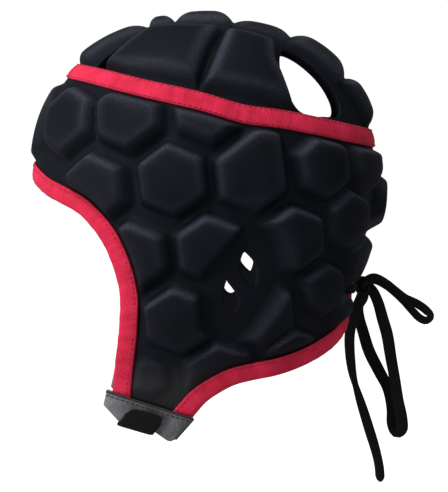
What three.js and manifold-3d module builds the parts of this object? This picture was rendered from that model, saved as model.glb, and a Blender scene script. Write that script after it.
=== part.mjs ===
// Padded head guard of the scrum-cap kind: a wrap-around foam panel with raised hexagonal pads,
// a domed crown panel with almond vents, red tape and bindings, folded chin patches, a chin strap
// and a lace tied in a bow at the nape.
// Millimetres. +Z is up, -Y is the face, +Y the nape, +X the wearer's left.
// The origin is where the top of the head meets the inside of the crown.
import * as THREE from 'three';
import { mergeVertices } from 'three/addons/utils/BufferGeometryUtils.js';
import Module from 'manifold-3d';

const wasm = await Module();
wasm.setup();

// The inside of the cap: level sections of a head, closed above the belt by a dome.
const BELT_UP = -95;
const DOME_RISE = 95;
const SECTION_POWER = 2.2;
const DOME_POWER = 2.35;
const HEAD_SECTIONS = [
  { up: -275, halfWidth: 37, front: 96, back: 78 },
  { up: -240, halfWidth: 53, front: 100, back: 78 },
  { up: -215, halfWidth: 61.5, front: 101.5, back: 79 },
  { up: -190, halfWidth: 68.5, front: 101.5, back: 80 },
  { up: -165, halfWidth: 74, front: 101.5, back: 82 },
  { up: -145, halfWidth: 76.5, front: 101.5, back: 85.5 },
  { up: -125, halfWidth: 77.7, front: 101.5, back: 92.5 },
  { up: -110, halfWidth: 78, front: 101.5, back: 97 },
  { up: -95, halfWidth: 78, front: 101.5, back: 98.5 },
];
const FORM_COLUMNS = 30;
const FORM_ROWS = 16;
const FORM_FOOT = -265;
const CUT_FOOT = FORM_FOOT - 8;

// Foam sheet, clearances and the fold of the bindings.
const WALL = 3.2;
const GAP = 0.3;
const SEAT = 0.85;
const FACET_CLEARANCE = 1.2;
const BINDING_THICK = 1.2;
const BINDING_WIDTH = 11;
const BINDING_INNER_WIDTH = 9.5;
const EDGE_INSET = BINDING_THICK + 0.8;
const BINDING_STEP = 11;

// The crown seam lies in a plane that falls towards the nape.
const SEAM_UP = -46.2;
const SEAM_FALL = THREE.MathUtils.degToRad(12.1);
const TAPE_WIDTH = 12.2;
const TAPE_THICK = 1.5;
const TAPE_STATIONS = 50;

// Free edges on the wearer's left: turn in degrees from the middle of the face, height in mm.
const FACE_EDGE = [
  { turn: 0, up: -91.5 },
  { turn: 12, up: -94.8 },
  { turn: 22.6, up: -100.5 },
  { turn: 31.4, up: -105 },
  { turn: 39.5, up: -111 },
  { turn: 46.8, up: -123 },
  { turn: 51.6, up: -138 },
  { turn: 54, up: -155 },
  { turn: 52.9, up: -173 },
  { turn: 49.4, up: -194 },
  { turn: 45.6, up: -214 },
  { turn: 44.4, up: -221 },
];
const NECK_EDGE = [
  { turn: 76, up: -236 },
  { turn: 81.9, up: -229.5 },
  { turn: 89.4, up: -220.5 },
  { turn: 96.7, up: -214.6 },
  { turn: 104.3, up: -210 },
  { turn: 113.8, up: -207.2 },
  { turn: 123.9, up: -205 },
  { turn: 135.3, up: -200.8 },
  { turn: 146.7, up: -195 },
  { turn: 156, up: -190 },
  { turn: 165, up: -184.5 },
];
const SLIT_CORNER = { turn: 174, up: -181 };
const SLIT_SIDE = [
  { turn: 175.4, up: -168 },
  { turn: 176.4, up: -158.5 },
  { turn: 176.9, up: -154.6 },
  { turn: 178.2, up: -152.4 },
];
const SLIT_TOP = { turn: 180, up: -152 };
const TAB_FOOT = [
  { turn: 67, up: -242 },
  { turn: 46.5, up: -230.2 },
];

// The cuts that open the face and the neck go on round the chin and stand square on the form.
const FACE_CUT_CHIN = [
  { turn: 44, up: -262 },
  { turn: 16, up: -264 },
];
const NECK_CUT_CHIN = [
  { turn: 30, up: -233 },
  { turn: 8, up: -235 },
];
const FACE_CUT_TIPS = [new THREE.Vector3(0, -20, -165), new THREE.Vector3(0, -420, -175)];
const NECK_CUT_TIPS = [new THREE.Vector3(0, 5, -145), new THREE.Vector3(0, 20, -800)];
const FENCE_INSIDE = -9;
const FENCE_OUTSIDE = 18;

// Which side of each edge path the foam lies on.
const FACE_SIDE = 1;
const NECK_SIDE = -1;
const TAPE_SIDE = -1;

// Raised pads of the body panel, by their middles, on the left side and on the middle line.
// Size and rise are shares of the full pad.
const PAD_FLATS = 40;
const PAD_TILT = THREE.MathUtils.degToRad(7);
const PAD_PROFILE = [
  { lift: 1.4, inset: 0 },
  { lift: 9.0, inset: 2.8 },
  { lift: 10.6, inset: 5.2 },
];
const PAD_CROWN = 0.5;
const LEFT_PADS = [
  { turn: 31.5, up: -57.5, size: 1, rise: 1 },
  { turn: 57.7, up: -55, size: 1, rise: 1 },
  { turn: 90.4, up: -51, size: 1, rise: 1 },
  { turn: 46.7, up: -95.4, size: 1, rise: 1 },
  { turn: 76.4, up: -90.2, size: 1, rise: 1 },
  { turn: 107.3, up: -87.6, size: 1.03, rise: 1 },
  { turn: 135.4, up: -83, size: 0.92, rise: 1 },
  { turn: 158.8, up: -79.5, size: 0.85, rise: 1 },
  { turn: 61.3, up: -133.9, size: 1, rise: 1 },
  { turn: 91.5, up: -129.5, size: 1, rise: 1 },
  { turn: 124.1, up: -124.2, size: 0.98, rise: 1 },
  { turn: 147.2, up: -114, size: 0.93, rise: 1 },
  { turn: 77.9, up: -171.6, size: 1, rise: 1 },
  { turn: 113, up: -168, size: 1, rise: 1 },
  { turn: 140.5, up: -154.4, size: 0.82, rise: 1 },
  { turn: 161, up: -138, size: 0.8, rise: 1 },
  { turn: 62.5, up: -206, size: 0.62, rise: 0.45 },
  { turn: 96.6, up: -204.5, size: 1, rise: 0.7 },
  { turn: 129.5, up: -193.5, size: 0.85, rise: 0.9 },
  { turn: 154.5, up: -168.5, size: 0.62, rise: 1 },
];
const MIDDLE_PADS = [
  { turn: 0, up: -59, size: 1.18, rise: 0.55 },
  { turn: 180, up: -105, size: 0.8, rise: 1 },
];
const PAD_EDGE_MARGIN = 1.2;
const PAD_SMALLEST = 160;
const PAD_SHORTEST = 4.5;

// Ear recess on each side: a six-sided field kept free of pads, with two vents through the sheet.
const EAR_FIELD = [
  { back: 25, up: -113 },
  { back: -4, up: -147 },
  { back: -2, up: -180 },
  { back: 15, up: -187 },
  { back: 41.5, up: -149 },
  { back: 38, up: -125 },
];
const EAR_VENTS = [
  { turn: 107.4, up: -141.4, length: 23, width: 10, lean: 15.5, topPower: 0.9, endPower: 0.9 },
  { turn: 99.6, up: -156.6, length: 19.5, width: 9.4, lean: 12.5, topPower: 1.0, endPower: 0.5 },
];

// Crown panel in plan: pads on the middle line, tiles at the side, vents between them.
const SPINE_PADS = [
  { from: -79, to: -34, halfFront: 28, halfBack: 26, rise: 0.7, bevel: 1 },
  { from: -31.5, to: -20, halfFront: 25, halfBack: 25, rise: 0.9, bevel: 0.55 },
  { from: -17.3, to: 12.8, halfFront: 26, halfBack: 28, rise: 1, bevel: 1 },
  { from: 15.5, to: 44.5, halfFront: 29, halfBack: 33, rise: 0.5, bevel: 1 },
  { from: 46.5, to: 74, halfFront: 33, halfBack: 33, rise: 0.8, bevel: 1 },
  { from: 77, to: 91, halfFront: 29, halfBack: 22, rise: 0.85, bevel: 0.8 },
];
const FRONT_TILE = [
  { across: 46.5, back: -61 },
  { across: 28, back: -32 },
  { across: 30.5, back: -18 },
  { across: 34, back: 7 },
  { across: 66.5, back: -6 },
];
const BACK_TILE = [
  { across: 67.5, back: -2.5 },
  { across: 36, back: 10.5 },
  { across: 39, back: 37 },
  { across: 52, back: 38 },
  { across: 64, back: 47 },
];
const FRONT_VENT = {
  tip: { across: 28, back: -36 }, end: { across: 40.5, back: -64 }, width: 12, topPower: 0.8, endPower: 0.45,
};
const BACK_VENT = [
  { across: 37, back: 43.5 },
  { across: 45, back: 41.5 },
  { across: 52, back: 41.5 },
  { across: 57, back: 44 },
  { across: 59, back: 48.5 },
  { across: 58.5, back: 54.5 },
  { across: 55, back: 61.5 },
  { across: 49, back: 69 },
  { across: 42.5, back: 74 },
  { across: 38.5, back: 73.5 },
  { across: 36.8, back: 67 },
  { across: 35.8, back: 59 },
  { across: 35.2, back: 50 },
];

// Chin patches folded over the tab ends: side outline as back and up, from the brow side round.
const PATCH_OUTLINE = [
  { back: -59.6, up: -214.2 },
  { back: -8.2, up: -230.2 },
  { back: -21.5, up: -244.8 },
  { back: -52.7, up: -232.8 },
  { back: -61.5, up: -223 },
];
const PATCH_THICK = 1.2;
const PATCH_MARGIN = 2.5;
const PATCH_OPEN = 30;
const PRISM_START = 20;
const PRISM_DEPTH = 90;
const PATCH_OUTER = WALL + SEAT + BINDING_THICK + SEAT;
const PATCH_INNER = FACET_CLEARANCE + BINDING_THICK + SEAT;

// Chin strap: webbing on the outside of both patches and under the chin.
const STRAP_THICK = 2;
const STRAP_EDGE_BACK = { back: -30.4, up: -241.3 };
const STRAP_EDGE_FRONT = { back: -52.3, up: -232.9 };
const STRAP_RISE = new THREE.Vector3(0, 0.595, 0.804);
const STRAP_END = 12;
const STRAP_BEND = 5;
const STRAP_UNDER = -2 * GAP;
const STRAP_SAG = 1.5;
const STRAP_INNER = PATCH_OUTER + PATCH_THICK + GAP;
const STRAP_OUTER = STRAP_INNER + STRAP_THICK;
const STRAP_TURN = STRAP_INNER - 1.2;
const STRAP_INBOARD = -PATCH_INNER - 3;
const STRAP_FOOT = STRAP_UNDER - STRAP_THICK;
// From the sewn end down the patch and in under its foot: rise and lift of both faces.
const STRAP_ROUTE = [
  { nearRise: STRAP_END, nearLift: STRAP_INNER, farRise: STRAP_END, farLift: STRAP_OUTER },
  { nearRise: STRAP_BEND, nearLift: STRAP_INNER, farRise: STRAP_BEND, farLift: STRAP_OUTER },
  { nearRise: STRAP_UNDER, nearLift: STRAP_INNER, farRise: STRAP_UNDER, farLift: STRAP_OUTER },
  { nearRise: STRAP_UNDER - 0.2, nearLift: STRAP_TURN, farRise: STRAP_FOOT + 0.3, farLift: STRAP_TURN + 2 },
  { nearRise: STRAP_UNDER, nearLift: 2, farRise: STRAP_FOOT, farLift: 2 },
  { nearRise: STRAP_UNDER, nearLift: STRAP_INBOARD, farRise: STRAP_FOOT, farLift: STRAP_INBOARD },
];
const STRAP_SHARES = [0, 0.5, 1];
const STRAP_SPANS = [0.66, 0.33, 0];

// Lace: a flat woven cord.
const LACE_WIDTH = 6;
const LACE_THICK = 2.4;
const LACE_STEP = 12.5;
const LACE_SIDES = 8;
const BRIDGE_STEP = 4.2;
const KNOT_MIDDLE = new THREE.Vector3(0, 95, -156.5);
const KNOT_RADII = new THREE.Vector3(7.5, 4.2, 6);
const EYELET_ACROSS = 21;
const EYELET_RADIUS = 3.8;
const NAPE_BACK = 80;
const KNOT_GAP = GAP + 0.1;
const BRIDGE_LIFT = WALL + SEAT + BINDING_THICK + GAP + LACE_THICK / 2;
const BRIDGE_ROUTE = [
  { across: EYELET_ACROSS, lift: 0.8 },
  { across: EYELET_ACROSS - 0.4, lift: 4.6 },
  { across: EYELET_ACROSS - 3.4, lift: BRIDGE_LIFT },
  { across: 8, lift: BRIDGE_LIFT },
];

// Lace routes by hand: across, back and up, from the knot outwards.
const LOOP_SIDE_ROUTE = [
  [3, 96.5, -152.5], [3.5, 101.1, -150.4], [4, 108.7, -154], [4.5, 114.8, -159], [5.2, 120.2, -163.2],
  [6.2, 127, -166.5], [8.2, 132.4, -170.3], [11.2, 134.8, -173.8], [13.6, 132.2, -176.2],
  [14.2, 128.4, -174.8], [13.4, 124, -170.5], [12, 119.4, -165.4], [10.8, 114.1, -160.3],
  [9.6, 108, -155.4], [8.4, 101.4, -152.4], [6.8, 96.8, -153.6],
];
const LOOP_LOW_ROUTE = [
  [1.5, 99.4, -158], [3, 103.2, -165], [4, 106.4, -176], [4.5, 109.2, -186], [4.5, 111.5, -199.8],
  [4.5, 114, -213.5], [4.2, 115.9, -225.7], [3.2, 118.2, -237], [1.2, 118.4, -244], [-1.6, 115.6, -246],
  [-4, 113.2, -241.5], [-5, 112.8, -231.8], [-5.6, 110.3, -219.6], [-6.3, 104.9, -208.9],
  [-6.6, 98.8, -196.7], [-7, 95, -184.5], [-7.2, 92.4, -175], [-7.4, 92, -169], [-7, 94, -163.6],
  [-5.6, 95, -160.4],
];
const END_ROUTE = [
  [2.4, 95, -163.2], [2.5, 91, -169.6], [2.6, 88.4, -177], [2.6, 86.6, -186], [2.6, 86.8, -198],
  [2.6, 88.6, -211], [2.6, 91.6, -221.5], [2.6, 95.2, -233], [2.6, 98.8, -244.6], [2.6, 102.4, -256.4],
  [2.6, 104.8, -267], [2.6, 105.5, -276],
];
const END_RIGHT_SHIFT = -4.8;

const RED = { color: 0xc2183c, roughness: 0.85, metalness: 0 };
const BLACK_KNIT = { color: 0x2a2d33, roughness: 0.9, metalness: 0 };
const GREY_LEATHER = { color: 0x77797e, roughness: 0.6, metalness: 0 };
const BLACK_WEBBING = { color: 0x17181a, roughness: 0.95, metalness: 0 };

function power(value, exponent) {
  return Math.abs(value) ** exponent;
}

// Cubic through the section rows, level above the belt.
function sectionAt(up) {
  const rows = HEAD_SECTIONS;
  const last = rows.length - 1;
  const height = THREE.MathUtils.clamp(up, rows[0].up, rows[last].up);
  let index = 0;
  while (index < last - 1 && rows[index + 1].up <= height) {
    index += 1;
  }
  const step = rows[index + 1].up - rows[index].up;
  const t = (height - rows[index].up) / step;
  const size = {};
  for (const column of ['halfWidth', 'front', 'back']) {
    const slope = (at) => {
      const before = rows[Math.max(at - 1, 0)];
      const after = rows[Math.min(at + 1, last)];
      return (after[column] - before[column]) / (after.up - before.up);
    };
    const near = (1 + 2 * t) * (1 - t) ** 2 * rows[index][column];
    const far = t * t * (3 - 2 * t) * rows[index + 1][column];
    const bend = t * (1 - t) ** 2 * slope(index) + t * t * (t - 1) * slope(index + 1);
    size[column] = near + far + step * bend;
  }
  return size;
}

// 1 on the inside of the cap, more outside it; grows in proportion along a ray.
function fullness(point) {
  const size = sectionAt(point.z);
  const reach = point.y < 0 ? size.front : size.back;
  const spread = power(point.x / size.halfWidth, SECTION_POWER) + power(point.y / reach, SECTION_POWER);
  const level = spread ** (1 / SECTION_POWER);
  const rise = Math.max(0, (point.z - BELT_UP) / DOME_RISE);
  return (power(level, DOME_POWER) + power(rise, DOME_POWER)) ** (1 / DOME_POWER);
}

function steepest(point) {
  const step = 0.01;
  const slope = new THREE.Vector3();
  for (const axis of ['x', 'y', 'z']) {
    const ahead = point.clone();
    const behind = point.clone();
    ahead[axis] += step;
    behind[axis] -= step;
    slope[axis] = (fullness(ahead) - fullness(behind)) / (2 * step);
  }
  return slope;
}

function normalAt(point) {
  return steepest(point).normalize();
}

// The place on the form that lies on the same ray as the point, raised by the lift.
function onForm(point, lift = 0) {
  const anchor = new THREE.Vector3(0, 0, Math.min(point.z, BELT_UP));
  const ray = point.clone().sub(anchor).divideScalar(fullness(point));
  const skin = anchor.clone().add(ray);
  return ray.multiplyScalar(1 + lift * steepest(skin).length()).add(anchor);
}

function atTurn(turn, up, lift = 0) {
  const angle = THREE.MathUtils.degToRad(turn);
  const ray = new THREE.Vector3(Math.sin(angle), -Math.cos(angle), 0);
  const rise = Math.max(0, (up - BELT_UP) / DOME_RISE);
  const level = (1 - power(rise, DOME_POWER)) ** (1 / DOME_POWER);
  const base = ray.clone().setZ(Math.min(up, BELT_UP));
  const point = ray.multiplyScalar(level / fullness(base)).setZ(up);
  return onForm(point, lift);
}

function inPlan(across, back, lift = 0) {
  const level = fullness(new THREE.Vector3(across, back, BELT_UP));
  const rise = Math.max(0, 1 - power(level, DOME_POWER)) ** (1 / DOME_POWER);
  return onForm(new THREE.Vector3(across, back, BELT_UP + DOME_RISE * rise), lift);
}

// The raised place on the left that shows at this spot in side view.
function onLeftSide(back, up, lift = 0) {
  const size = sectionAt(up);
  let start = back;
  let point = new THREE.Vector3();
  for (let round = 0; round < 4; round += 1) {
    const reach = start < 0 ? size.front : size.back;
    const across = size.halfWidth * (1 - power(start / reach, SECTION_POWER)) ** (1 / SECTION_POWER);
    point = onForm(new THREE.Vector3(across, start, up), lift);
    start += back - point.y;
  }
  return point;
}

function flipped(points) {
  return points.map((point) => new THREE.Vector3(-point.x, point.y, point.z));
}

// Solids: closed geometry in, manifold out, faces turned outwards.
function solidFrom(geometry) {
  const bare = geometry.clone();
  bare.deleteAttribute('normal');
  bare.deleteAttribute('uv');
  const merged = mergeVertices(bare, 1e-4);
  const place = merged.attributes.position;
  const corners = Array.from(merged.index.array);
  const triangles = [];
  let volume = 0;
  const [a, b, c] = [new THREE.Vector3(), new THREE.Vector3(), new THREE.Vector3()];
  for (let at = 0; at < corners.length; at += 3) {
    const face = corners.slice(at, at + 3);
    if (new Set(face).size < 3) {
      continue;
    }
    a.fromBufferAttribute(place, face[0]);
    b.fromBufferAttribute(place, face[1]);
    c.fromBufferAttribute(place, face[2]);
    volume += a.dot(b.cross(c));
    triangles.push(...face);
  }
  if (volume < 0) {
    triangles.reverse();
  }
  return new wasm.Manifold(new wasm.Mesh({
    numProp: 3,
    vertProperties: Float32Array.from(place.array),
    triVerts: Uint32Array.from(triangles),
  }));
}

function geometryFrom(solid) {
  const mesh = solid.getMesh();
  const geometry = new THREE.BufferGeometry();
  geometry.setAttribute('position', new THREE.BufferAttribute(Float32Array.from(mesh.vertProperties), 3));
  geometry.setIndex(Array.from(mesh.triVerts));
  geometry.computeVertexNormals();
  return geometry;
}

// Skin through rings of equal count; the ends close on a middle point or on listed cap faces.
function loft(rings, { loop = false, capFaces = null, ends = null } = {}) {
  const count = rings[0].length;
  const points = rings.flat();
  const index = [];
  const lastRing = loop ? rings.length : rings.length - 1;
  for (let ring = 0; ring < lastRing; ring += 1) {
    const next = (ring + 1) % rings.length;
    for (let side = 0; side < count; side += 1) {
      const beside = (side + 1) % count;
      const corner = ring * count + side;
      index.push(corner, ring * count + beside, next * count + beside);
      index.push(corner, next * count + beside, next * count + side);
    }
  }
  if (!loop && capFaces) {
    const top = (rings.length - 1) * count;
    for (const face of capFaces) {
      index.push(face[2], face[1], face[0]);
      index.push(top + face[0], top + face[1], top + face[2]);
    }
  }
  if (!loop && ends) {
    const middle = points.length;
    const top = (rings.length - 1) * count;
    points.push(ends[0], ends[1]);
    for (let side = 0; side < count; side += 1) {
      const beside = (side + 1) % count;
      index.push(middle, beside, side);
      index.push(middle + 1, top + side, top + beside);
    }
  }
  const geometry = new THREE.BufferGeometry().setFromPoints(points);
  geometry.setIndex(index);
  return geometry;
}

// The whole head form at one lift, as a closed solid; one that cuts reaches further down.
function formSolid(lift, foot = FORM_FOOT) {
  const geometry = new THREE.SphereGeometry(1, FORM_COLUMNS, FORM_ROWS).rotateX(Math.PI / 2);
  const place = geometry.attributes.position;
  const ray = new THREE.Vector3();
  for (let at = 0; at < place.count; at += 1) {
    ray.fromBufferAttribute(place, at);
    const latitude = Math.asin(THREE.MathUtils.clamp(ray.z, -1, 1)) / (Math.PI / 2);
    const level = Math.hypot(ray.x, ray.y);
    let point = new THREE.Vector3(0, 0, foot);
    if (latitude > -1e-6) {
      point = onForm(ray.clone().setZ(ray.z + BELT_UP), lift);
    } else if (level > 1e-3) {
      const up = BELT_UP + (BELT_UP - foot) * latitude;
      point = atTurn(THREE.MathUtils.radToDeg(Math.atan2(ray.x, -ray.y)), up, lift);
    }
    place.setXYZ(at, point.x, point.y, point.z);
  }
  return solidFrom(geometry);
}

// A path that runs on the form, with the direction across it at each station.
function crossings(path, side, loop = false) {
  const count = path.length;
  return path.map((point, at) => {
    const before = loop ? path[(at + count - 1) % count] : path[Math.max(at - 1, 0)];
    const after = loop ? path[(at + 1) % count] : path[Math.min(at + 1, count - 1)];
    const arriving = point.clone().sub(before);
    const leaving = after.clone().sub(point);
    const first = arriving.lengthSq() > 0 ? arriving.normalize() : leaving.clone().normalize();
    const second = leaving.lengthSq() > 0 ? leaving.normalize() : first;
    const along = first.clone().add(second).normalize();
    const across = new THREE.Vector3().crossVectors(along, normalAt(point)).normalize();
    return across.multiplyScalar(side / Math.max(along.dot(first), 0.5));
  });
}

function insetPath(path, side, distance, loop = false) {
  const across = crossings(path, side, loop);
  return path.map((point, at) => onForm(point.clone().addScaledVector(across[at], distance)));
}

function sweepOnForm(path, side, section, loop = false) {
  const across = crossings(path, side, loop);
  const rings = path.map((point, at) => section.map((corner) => {
    const [inward, lift] = corner;
    return onForm(point.clone().addScaledVector(across[at], inward), lift);
  }));
  const outline = section.map((corner) => new THREE.Vector2(...corner));
  const capFaces = THREE.ShapeUtils.triangulateShape(outline, []);
  return solidFrom(loft(rings, { loop, capFaces }));
}

function smoothPath(rows, step) {
  const places = rows.map((row) => atTurn(row.turn, row.up));
  const curve = new THREE.CatmullRomCurve3(places, false, 'centripetal');
  const count = Math.max(2, Math.round(curve.getLength() / step));
  return curve.getSpacedPoints(count).map((point) => onForm(point));
}

// Everything on one side of a closed fence that stands square on the form.
function openingCutter(fence, innerTip, outerTip) {
  const inside = fence.map((point) => onForm(point, FENCE_INSIDE));
  const outside = fence.map((point) => onForm(point, FENCE_OUTSIDE));
  return solidFrom(loft([inside, outside], { ends: [innerTip, outerTip] }));
}

// A tangent frame on the form, and flat outlines laid on it.
function frameAt(middle, tilt = 0) {
  const normal = normalAt(middle);
  const level = new THREE.Vector3().crossVectors(new THREE.Vector3(0, 0, 1), normal).normalize();
  const steep = new THREE.Vector3().crossVectors(normal, level);
  const right = level.clone().multiplyScalar(Math.cos(tilt)).addScaledVector(steep, Math.sin(tilt));
  const upward = new THREE.Vector3().crossVectors(normal, right);
  return { middle, normal, right, upward };
}

function flatPoint(frame, point) {
  const arm = point.clone().sub(frame.middle);
  return new THREE.Vector2(arm.dot(frame.right), arm.dot(frame.upward));
}

function laidPoint(frame, flat, lift) {
  const point = frame.middle.clone();
  point.addScaledVector(frame.right, flat.x).addScaledVector(frame.upward, flat.y);
  return onForm(point, lift);
}

// The part of a convex outline on the kept side of a line.
function clipOutline(outline, linePoint, keepDirection) {
  const depth = outline.map((point) => point.clone().sub(linePoint).dot(keepDirection));
  const kept = [];
  outline.forEach((point, at) => {
    const next = (at + 1) % outline.length;
    if (depth[at] >= 0) {
      kept.push(point);
    }
    if (depth[at] * depth[next] < 0) {
      const share = depth[at] / (depth[at] - depth[next]);
      kept.push(point.clone().lerp(outline[next], share));
    }
  });
  return kept;
}

function insetOutline(outline, distance) {
  const count = outline.length;
  return outline.map((point, at) => {
    const first = point.clone().sub(outline[(at + count - 1) % count]).normalize();
    const second = outline[(at + 1) % count].clone().sub(point).normalize();
    const bend = 1 + first.dot(second);
    const inward = new THREE.Vector2(-first.y - second.y, first.x + second.x).divideScalar(bend);
    return point.clone().addScaledVector(inward, distance);
  });
}

// Corners closer than this melt into one, so that insets stay simple.
function tidyOutline(outline, closest) {
  return outline.filter((point, at) => {
    const next = outline[(at + 1) % outline.length];
    return point.distanceTo(next) > closest;
  });
}

function outlineArea(outline) {
  return THREE.ShapeUtils.area(outline);
}

function padSolid(frame, outline, rise, bevel = 1) {
  const foot = PAD_PROFILE[0].lift;
  const raised = (lift) => foot + (lift - foot) * rise;
  const rings = PAD_PROFILE.map((row) => {
    const flat = insetOutline(outline, row.inset * bevel);
    return flat.map((point) => laidPoint(frame, point, raised(row.lift)));
  });
  const centre = outline.reduce((sum, point) => sum.add(point), new THREE.Vector2());
  centre.divideScalar(outline.length);
  const lifts = [foot, raised(PAD_PROFILE.at(-1).lift) + PAD_CROWN];
  const ends = lifts.map((lift) => laidPoint(frame, centre, lift));
  return solidFrom(loft(rings, { ends }));
}

// Almond outline along +Y of its frame, pointed or round at either end.
function almondOutline({ length, width, topPower, endPower }) {
  const steps = 7;
  const widest = topPower / (topPower + endPower);
  const half = (s) => (width / 2) * power(s / widest, topPower) * power((1 - s) / (1 - widest), endPower);
  const left = [];
  const right = [];
  for (let at = 1; at < steps; at += 1) {
    const s = 0.5 - 0.5 * Math.cos((Math.PI * at) / steps);
    right.push(new THREE.Vector2(half(s), length * (0.5 - s)));
    left.push(new THREE.Vector2(-half(s), length * (0.5 - s)));
  }
  const top = new THREE.Vector2(0, length / 2);
  const end = new THREE.Vector2(0, -length / 2);
  return [top, ...left, end, ...right.reverse()];
}

function plugSolid(frame, outline) {
  const lifts = [FENCE_INSIDE, FENCE_OUTSIDE];
  const rings = lifts.map((lift) => outline.map((point) => laidPoint(frame, point, lift)));
  const ends = lifts.map((lift) => laidPoint(frame, new THREE.Vector2(), lift));
  return solidFrom(loft(rings, { ends }));
}

function seamHeight(back) {
  return SEAM_UP - Math.tan(SEAM_FALL) * back;
}

// Half space above or below the seam plane, as a large tilted block.
function seamBlock(offset, above) {
  const size = 400;
  const block = new THREE.BoxGeometry(size, size, size);
  block.translate(0, 0, (above ? size / 2 : -size / 2) + offset);
  block.rotateX(-SEAM_FALL);
  block.translate(0, 0, SEAM_UP);
  return solidFrom(block);
}

function seamPath() {
  const path = [];
  for (let at = 0; at < TAPE_STATIONS; at += 1) {
    const turn = (360 * at) / TAPE_STATIONS;
    let low = BELT_UP;
    let high = -1;
    for (let halving = 0; halving < 40; halving += 1) {
      const middle = (low + high) / 2;
      const point = atTurn(turn, middle);
      if (point.z < seamHeight(point.y)) {
        low = middle;
      } else {
        high = middle;
      }
    }
    path.push(atTurn(turn, low));
  }
  return path;
}

// Edges, from the left round to the right.
const faceLeft = smoothPath(FACE_EDGE, BINDING_STEP);
const facePath = [...faceLeft.slice(1).reverse(), ...flipped(faceLeft)];
const neckLow = smoothPath(NECK_EDGE, BINDING_STEP);
const slitRun = [SLIT_CORNER, ...SLIT_SIDE].map((row) => atTurn(row.turn, row.up));
const neckLeft = [...neckLow, ...slitRun];
const neckPath = [...neckLeft, atTurn(SLIT_TOP.turn, SLIT_TOP.up), ...flipped(neckLeft).reverse()];

function faceCutter(distance) {
  const chin = FACE_CUT_CHIN.map((row) => atTurn(row.turn, row.up));
  const fence = [...insetPath(facePath, FACE_SIDE, distance), ...flipped(chin), ...chin.reverse()];
  return openingCutter(fence, ...FACE_CUT_TIPS);
}

function neckCutter(distance) {
  const front = [...TAB_FOOT, ...NECK_CUT_CHIN].map((row) => atTurn(row.turn, row.up));
  const fence = [...insetPath(neckPath, NECK_SIDE, distance), ...flipped(front), ...front.reverse()];
  return openingCutter(fence, ...NECK_CUT_TIPS);
}

// Pads end on straight lines: at the tape, at the bindings and round the ear.
const tapePath = seamPath();
const faceLine = insetPath(facePath, FACE_SIDE, BINDING_WIDTH + PAD_EDGE_MARGIN);
const neckLine = insetPath(neckPath, NECK_SIDE, BINDING_WIDTH + PAD_EDGE_MARGIN);
const earCorners = EAR_FIELD.map((row) => onLeftSide(row.back, row.up));
const tapeMargin = TAPE_WIDTH / 2 + PAD_EDGE_MARGIN;
const crownTapeLine = insetPath(tapePath, TAPE_SIDE, tapeMargin, true);
const bodyTapeLine = insetPath(tapePath, TAPE_SIDE, -tapeMargin, true);
const patchLine = [0, 0.25, 0.5, 0.75, 1].map((share) => {
  const back = THREE.MathUtils.lerp(PATCH_OUTLINE[0].back, PATCH_OUTLINE[1].back, share);
  const up = THREE.MathUtils.lerp(PATCH_OUTLINE[0].up, PATCH_OUTLINE[1].up, share);
  return onLeftSide(back, up + PATCH_MARGIN);
});

// Keeps the outline on one side of the line's stretch nearest to the frame's middle.
function trimmed(outline, frame, line, keepSide, loop = false) {
  const flat = line.map((point) => flatPoint(frame, point));
  let nearest = -1;
  let least = PAD_FLATS;
  flat.forEach((point, at) => {
    const distance = point.length();
    if (distance < least && normalAt(line[at]).dot(frame.normal) > 0.5) {
      least = distance;
      nearest = at;
    }
  });
  if (nearest < 0) {
    return outline;
  }
  const count = flat.length;
  const before = flat[loop ? (nearest + count - 1) % count : Math.max(nearest - 1, 0)];
  const after = flat[loop ? (nearest + 1) % count : Math.min(nearest + 1, count - 1)];
  const along = after.clone().sub(before).normalize();
  const keep = new THREE.Vector2(-along.y, along.x).multiplyScalar(keepSide);
  return clipOutline(outline, flat[nearest], keep);
}

// Cuts a pad along the side of the ear field that leaves the most of it.
function clearOfEar(outline, frame) {
  const flat = earCorners.map((point) => flatPoint(frame, point));
  const reach = Math.min(...flat.map((point) => point.length()));
  if (frame.middle.x < 0 || reach > 2 * PAD_FLATS) {
    return outline;
  }
  let best = [];
  flat.forEach((corner, at) => {
    const along = flat[(at + 1) % flat.length].clone().sub(corner).normalize();
    const kept = clipOutline(outline, corner, new THREE.Vector2(along.y, -along.x));
    if (kept.length > 2 && (best.length === 0 || outlineArea(kept) > outlineArea(best))) {
      best = kept;
    }
  });
  return best;
}

function bodyPad({ turn, up, size, rise }) {
  const frame = frameAt(atTurn(turn, up), turn === 0 || turn === 180 ? 0 : PAD_TILT);
  const radius = (PAD_FLATS * size) / Math.sqrt(3);
  let outline = Array.from({ length: 6 }, (unused, at) => {
    const angle = Math.PI / 2 + (at * Math.PI) / 3;
    return new THREE.Vector2(radius * Math.cos(angle), radius * Math.sin(angle));
  });
  outline = trimmed(outline, frame, bodyTapeLine, -1, true);
  outline = trimmed(outline, frame, faceLine, -1);
  outline = trimmed(outline, frame, neckLine, 1);
  outline = clearOfEar(outline, frame);
  outline = trimmed(outline, frame, patchLine, 1);
  outline = tidyOutline(outline, PAD_SHORTEST);
  const depth = PAD_PROFILE.at(-1).inset;
  if (outline.length < 3 || outlineArea(outline) < PAD_SMALLEST) {
    return null;
  }
  if (outlineArea(insetOutline(outline, depth)) < 12) {
    return null;
  }
  return padSolid(frame, outline, rise);
}

function mirrorSolid(solid) {
  return solid.mirror([1, 0, 0]);
}

function bothSides(solids) {
  return [...solids, ...solids.map(mirrorSolid)];
}

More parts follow.
